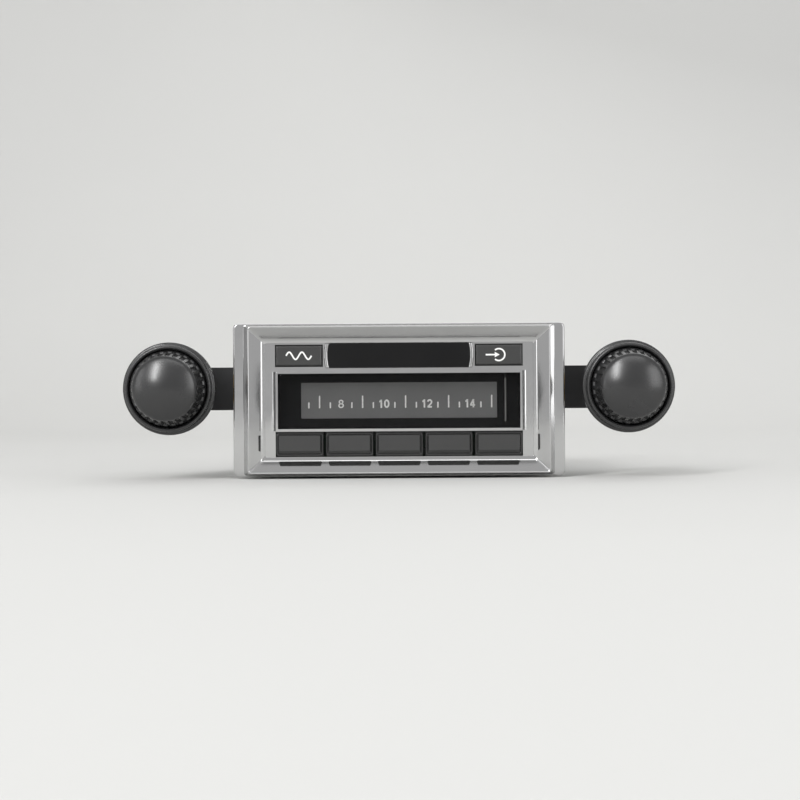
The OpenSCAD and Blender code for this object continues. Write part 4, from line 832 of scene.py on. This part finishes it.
class RadioKnobs(bpy.types.Operator):
    """Turn the two domed front knobs with their blocks round the grip."""

    bl_idname = "truck_radio.knobs"
    bl_label = "Front knobs"

    def execute(self, context):
        sizes = context.scene.radio_sizes
        step = 2 * pi / sizes.ribs
        # Each rib has a crowned top and steep sides: shares of a rib spacing, and of the groove's depth
        cuts = [0.0, 0.06, 0.2, 0.34, 0.4, 0.46, 0.56, 0.7, 0.84, 0.94]
        fall = [0.0, 0.0, 0.0, 0.0, 0.12, 0.88, 1.0, 1.0, 1.0, 0.88]
        angles = [step * (n + c) for n in range(sizes.ribs) for c in cuts]
        # Taper and length of the grip, radii of its shoulder and of the dome, and the band at its foot
        taper, grip, round_r, dome, band = 1.8, 9.0, 2.4, 20.0, 1.8
        # Wall of the grip, thickness at the crown, and the blind bore for the shaft
        wall, crown, bore, bore_depth = 1.8, 3.6, 2.05, 7.6
        for name in ("volume", "tuning"):
            node = f"{name}_knob"
            x, z, foot_r, tip, foot = turned(node)
            top_r, shoulder, rib_end = foot_r - taper, foot - grip, foot - band
            inner = top_r - sizes.rib_depth - wall
            # The dome runs into the round of the shoulder without a crease
            lean = asin((top_r - round_r) / (dome - round_r))
            leans = [lean * k / 14 for k in range(15)]
            profile = [(dome * sin(a), tip + dome - dome * cos(a)) for a in leans]
            profile += arc(top_r - round_r, shoulder, round_r, 90 - degrees(lean), 0, 8)[1:]
            drops = [grip * share for share in (0.12, 0.3, 0.5, 0.68)]
            drops += [grip - band + d for d in (-0.25, -0.05, 0.15)]
            profile += [(top_r + taper * d / grip, shoulder + d) for d in drops]
            profile += [(foot_r - 0.02, foot - 0.3), (foot_r - 0.2, foot), (inner, foot)]
            profile += [(inner, tip + crown), (HUB, tip + crown), (HUB, foot), (bore, foot)]
            profile += [(bore, foot - bore_depth), (0.0, foot - bore_depth)]
            shape = ribbed(cuts, fall, step, sizes.rib_depth, shoulder - 0.9, rib_end, inner)
            bm = bmesh.new()
            lathe(bm, profile, x, z, angles, shape, closed=False)
            stand_for(node, bm, sharp=40)
        return {"FINISHED"}


class RadioRings(bpy.types.Operator):
    """Turn the two stepped rear rings, with a rounded lip and a rounded base."""

    bl_idname = "truck_radio.rings"
    bl_label = "Rear rings"

    def execute(self, context):
        # The bead of the lip stands a little nearer to the knob than the plain lip of the frame
        lip, recess, recess_depth = 13.7, 12.4, 2.0
        bead = (lip - recess) / 2
        base_h, base_r, wall = 2.0, 0.7, 1.8
        for name in ("tone", "fader"):
            node = f"{name}_ring"
            x, z, outer, front, back = turned(node)
            floor, base = front + recess_depth, back - base_h
            profile = [(SHAFT_BORE, floor), (recess - 0.3, floor), (recess, floor - 0.3)]
            profile += arc(lip - bead, front + bead, bead, 180, 0, 14)
            profile += [(lip, base - 0.5), (lip + 0.1, base - 0.12), (lip + 0.35, base)]
            profile += arc(outer - base_r, base + base_r, base_r, 90, 0, 8)
            profile += [(outer, back - 0.15), (outer - 0.15, back), (outer - wall, back)]
            profile += [(outer - wall, floor + wall), (HUB, floor + wall), (HUB, back), (SHAFT_BORE, back)]
            bm = bmesh.new()
            lathe(bm, profile, x, z, 144)
            stand_for(node, bm, sharp=40)
        return {"FINISHED"}


class RadioScrews(bpy.types.Operator):
    """Set a cross-recess pan screw in the place of every screw of the frame."""

    bl_idname = "truck_radio.screws"
    bl_label = "Screws"

    def execute(self, context):
        head_h, shank_r = 1.4, 1.25
        # Each group of screws, with the axis that they lie along
        groups = {"cover_screws": 0, "front_screws": 1, "heat_sink_screws": 1, "board_screws": 2}
        for node, axis in groups.items():
            across = (axis + 1) % 3
            bm = bmesh.new()
            for points in islands(node):
                low, high = corners(points)
                middle = (low + high) / 2
                head_r = (high[across] - low[across]) / 2
                # The head is at the end where the points lie farthest out
                wide = [p[axis] for p in points if abs(p[across] - middle[across]) > 0.9 * head_r]
                out = 1 if max(wide) > middle[axis] else -1
                seat = middle.copy()
                seat[axis] = (high[axis] if out > 0 else low[axis]) - out * head_h
                normal = Vector([out if i == axis else 0 for i in range(3)])
                turn = normal.to_track_quat("Z", "Y").to_matrix().to_4x4()
                length = high[axis] - low[axis] - head_h
                pan_screw(bm, Matrix.Translation(seat) @ turn, head_r, head_h, shank_r, length)
            stand_for(node, bm, sharp=35)
        return {"FINISHED"}


class RadioBushings(bpy.types.Operator):
    """Cut the threads of the two bushings and round the corners of their nuts."""

    bl_idname = "truck_radio.bushings"
    bl_label = "Bushings"

    def execute(self, context):
        pitch = context.scene.radio_sizes.thread_pitch
        chamfer, depth, rows_a_turn = 0.4, 0.4, 6
        for name in ("volume", "tuning"):
            node = f"{name}_bushing"
            x, z, r, front, back = turned(node)
            start, end = front + chamfer, back - chamfer
            rows = int((end - start) / (pitch / rows_a_turn))
            profile = [(SHAFT_BORE, front), (r - 0.5, front), (r, start)]
            profile += [(r, start + (end - start) * k / rows) for k in range(1, rows)]
            profile += [(r, end), (r - chamfer, back), (SHAFT_BORE, back)]
            bm = bmesh.new()
            lathe(bm, profile, x, z, 48, thread(r, pitch, depth, start, end))
            stand_for(node, bm, sharp=75)
        soften("bushing_nuts", 0.25)
        return {"FINISHED"}


class RadioCase(bpy.types.Operator):
    """Deburr the front plate and the heat sink, and round the edges of the harness socket."""

    bl_idname = "truck_radio.case"
    bl_label = "Case"

    def execute(self, context):
        for node, radius in (("front_plate", 0.18), ("heat_sink", 0.2), ("harness_socket", 0.2)):
            soften(node, radius)
        return {"FINISHED"}


class RadioSockets(bpy.types.Operator):
    """Turn the aerial and phono sockets, and thread the support stud."""

    bl_idname = "truck_radio.sockets"
    bl_label = "Rear sockets"

    def execute(self, context):
        self.phono()
        self.aerial()
        self.stud()
        return {"FINISHED"}

    def phono(self):
        """Each phono socket is a shell on a flange, round a raised contact with a bore for the pin."""
        wall, rim, contact, bore = REAR_WALL, 0.8, 1.6, 1.2
        bm = bmesh.new()
        for points in islands("phono_sockets"):
            low, high = corners(points)
            x, z, back = (low.x + high.x) / 2, (low.z + high.z) / 2, high.y
            flange = (high.x - low.x) / 2
            r, neck = flange - 1.0, flange - 2.0
            profile = [(contact, back - 0.3), (r - rim, back - 0.3), (r - rim, back - 0.12)]
            profile += [(r - 0.68, back), (r - 0.2, back), (r, back - 0.2), (r, wall + 1.15)]
            profile += [(r + 0.15, wall + 1.0), (flange - 0.15, wall + 1.0), (flange, wall + 0.85)]
            profile += [(flange, wall), (neck, wall), (neck, low.y), (0.0, low.y)]
            lathe(bm, profile, x, z, 64, closed=False)
            well = [(contact, back - 0.3), (1.35, back - 0.15), (bore, back - 0.3)]
            well += [(bore, wall + 1.2), (0.0, wall + 1.2)]
            lathe(bm, well, x, z, 64, closed=False)
        stand_for("phono_sockets", bm)

    def aerial(self):
        """The aerial socket is a deep cup with a short sleeve round the contact at its floor."""
        x, z, flange, inner, back = turned("antenna_socket")
        wall, bore, contact = REAR_WALL, 4.8, 1.5
        outer, sleeve = bore + 1.2, contact + 0.4
        profile = [(0.0, inner), (outer, inner), (outer, wall), (flange, wall), (flange, wall + 0.85)]
        profile += [(flange - 0.15, wall + 1.0), (outer + 0.15, wall + 1.0), (outer, wall + 1.15)]
        profile += [(outer, back - 0.35), (outer - 0.3, back), (bore + 0.3, back), (bore, back - 0.3)]
        profile += [(bore, wall - 2.0), (sleeve, wall - 2.0), (sleeve, wall - 1.2), (contact, wall - 1.2)]
        profile += [(contact, inner + 1.0), (0.0, inner + 1.0)]
        bm = bmesh.new()
        lathe(bm, profile, x, z, 72, closed=False)
        stand_for("antenna_socket", bm)

    def stud(self):
        """The support stud has a head inside the case, a hexagon foot on the wall and a thread."""
        x, z, foot_r, start, tip = turned("rear_stud")
        wall, r, pitch, depth, row_h = REAR_WALL, 3.0, 1.0, 0.42, 0.17
        foot, head_r, point = wall + 3.0, 1.5 * r, 0.6
        bm = bmesh.new()
        rows = int((tip - foot) / row_h)
        profile = [(0.0, foot - 0.5), (r, foot - 0.5)]
        profile += [(r, foot + (tip - point - foot) * k / rows) for k in range(rows + 1)]
        profile += [(r - point, tip), (0.0, tip)]
        lathe(bm, profile, x, z, 48, thread(r, pitch, depth, foot + 0.8, tip - 0.5), closed=False)
        head = [(0.0, start), (head_r - 0.2, start), (head_r, start + 0.2), (head_r, wall - 1.0)]
        head += [(r, wall - 1.0), (r, wall), (0.0, wall)]
        lathe(bm, head, x, z, 48, closed=False)
        half_flats = foot_r * cos(radians(30))
        corner = half_flats + 0.62

        def hexagon(radius, y, angle):
            """The flats of the foot, with corners turned down to a radius."""
            return min(half_flats / cos(angle % radians(60) - radians(30)), radius)

        nut = [(0.0, wall), (corner, wall), (corner, foot - 0.35), (corner - 0.49, foot), (0.0, foot)]
        lathe(bm, nut, x, z, 72, hexagon, closed=False)
        stand_for("rear_stud", bm, sharp=40)


class RadioPanel(bpy.types.Panel):
    """Lists the sizes, the colours and the steps of the radio."""

    bl_idname = "VIEW3D_PT_truck_radio"
    bl_label = "Truck radio"
    bl_space_type = "VIEW_3D"
    bl_region_type = "UI"
    bl_category = "Truck radio"

    def draw(self, context):
        for group in (context.scene.radio_sizes, context.scene.radio_finishes):
            for name in group.bl_rna.properties.keys():
                if name not in ("rna_type", "name"):
                    self.layout.prop(group, name)
        for step in STEPS:
            self.layout.operator(step.bl_idname)


STEPS = (RadioStage, RadioFrameFinish, RadioFace, RadioDial, RadioButtons, RadioKnobs, RadioRings,
         RadioScrews, RadioBushings, RadioCase, RadioSockets)
CLASSES = (RadioSizes, RadioFinishes, *STEPS, RadioPanel)


def register():
    for cls in CLASSES:
        bpy.utils.register_class(cls)
    bpy.types.Scene.radio_sizes = bpy.props.PointerProperty(type=RadioSizes)
    bpy.types.Scene.radio_finishes = bpy.props.PointerProperty(type=RadioFinishes)


def unregister():
    del bpy.types.Scene.radio_finishes
    del bpy.types.Scene.radio_sizes
    for cls in reversed(CLASSES):
        bpy.utils.unregister_class(cls)


def main():
    register()
    FINISHES.update(make_finishes(bpy.context.scene.radio_finishes))
    bpy.ops.truck_radio.stage()
    bpy.ops.truck_radio.frame_finish()
    bpy.ops.truck_radio.face()
    bpy.ops.truck_radio.dial()
    bpy.ops.truck_radio.buttons()
    bpy.ops.truck_radio.knobs()
    bpy.ops.truck_radio.rings()
    bpy.ops.truck_radio.screws()
    bpy.ops.truck_radio.bushings()
    bpy.ops.truck_radio.case()
    bpy.ops.truck_radio.sockets()


if __name__ == "__main__":
    main()
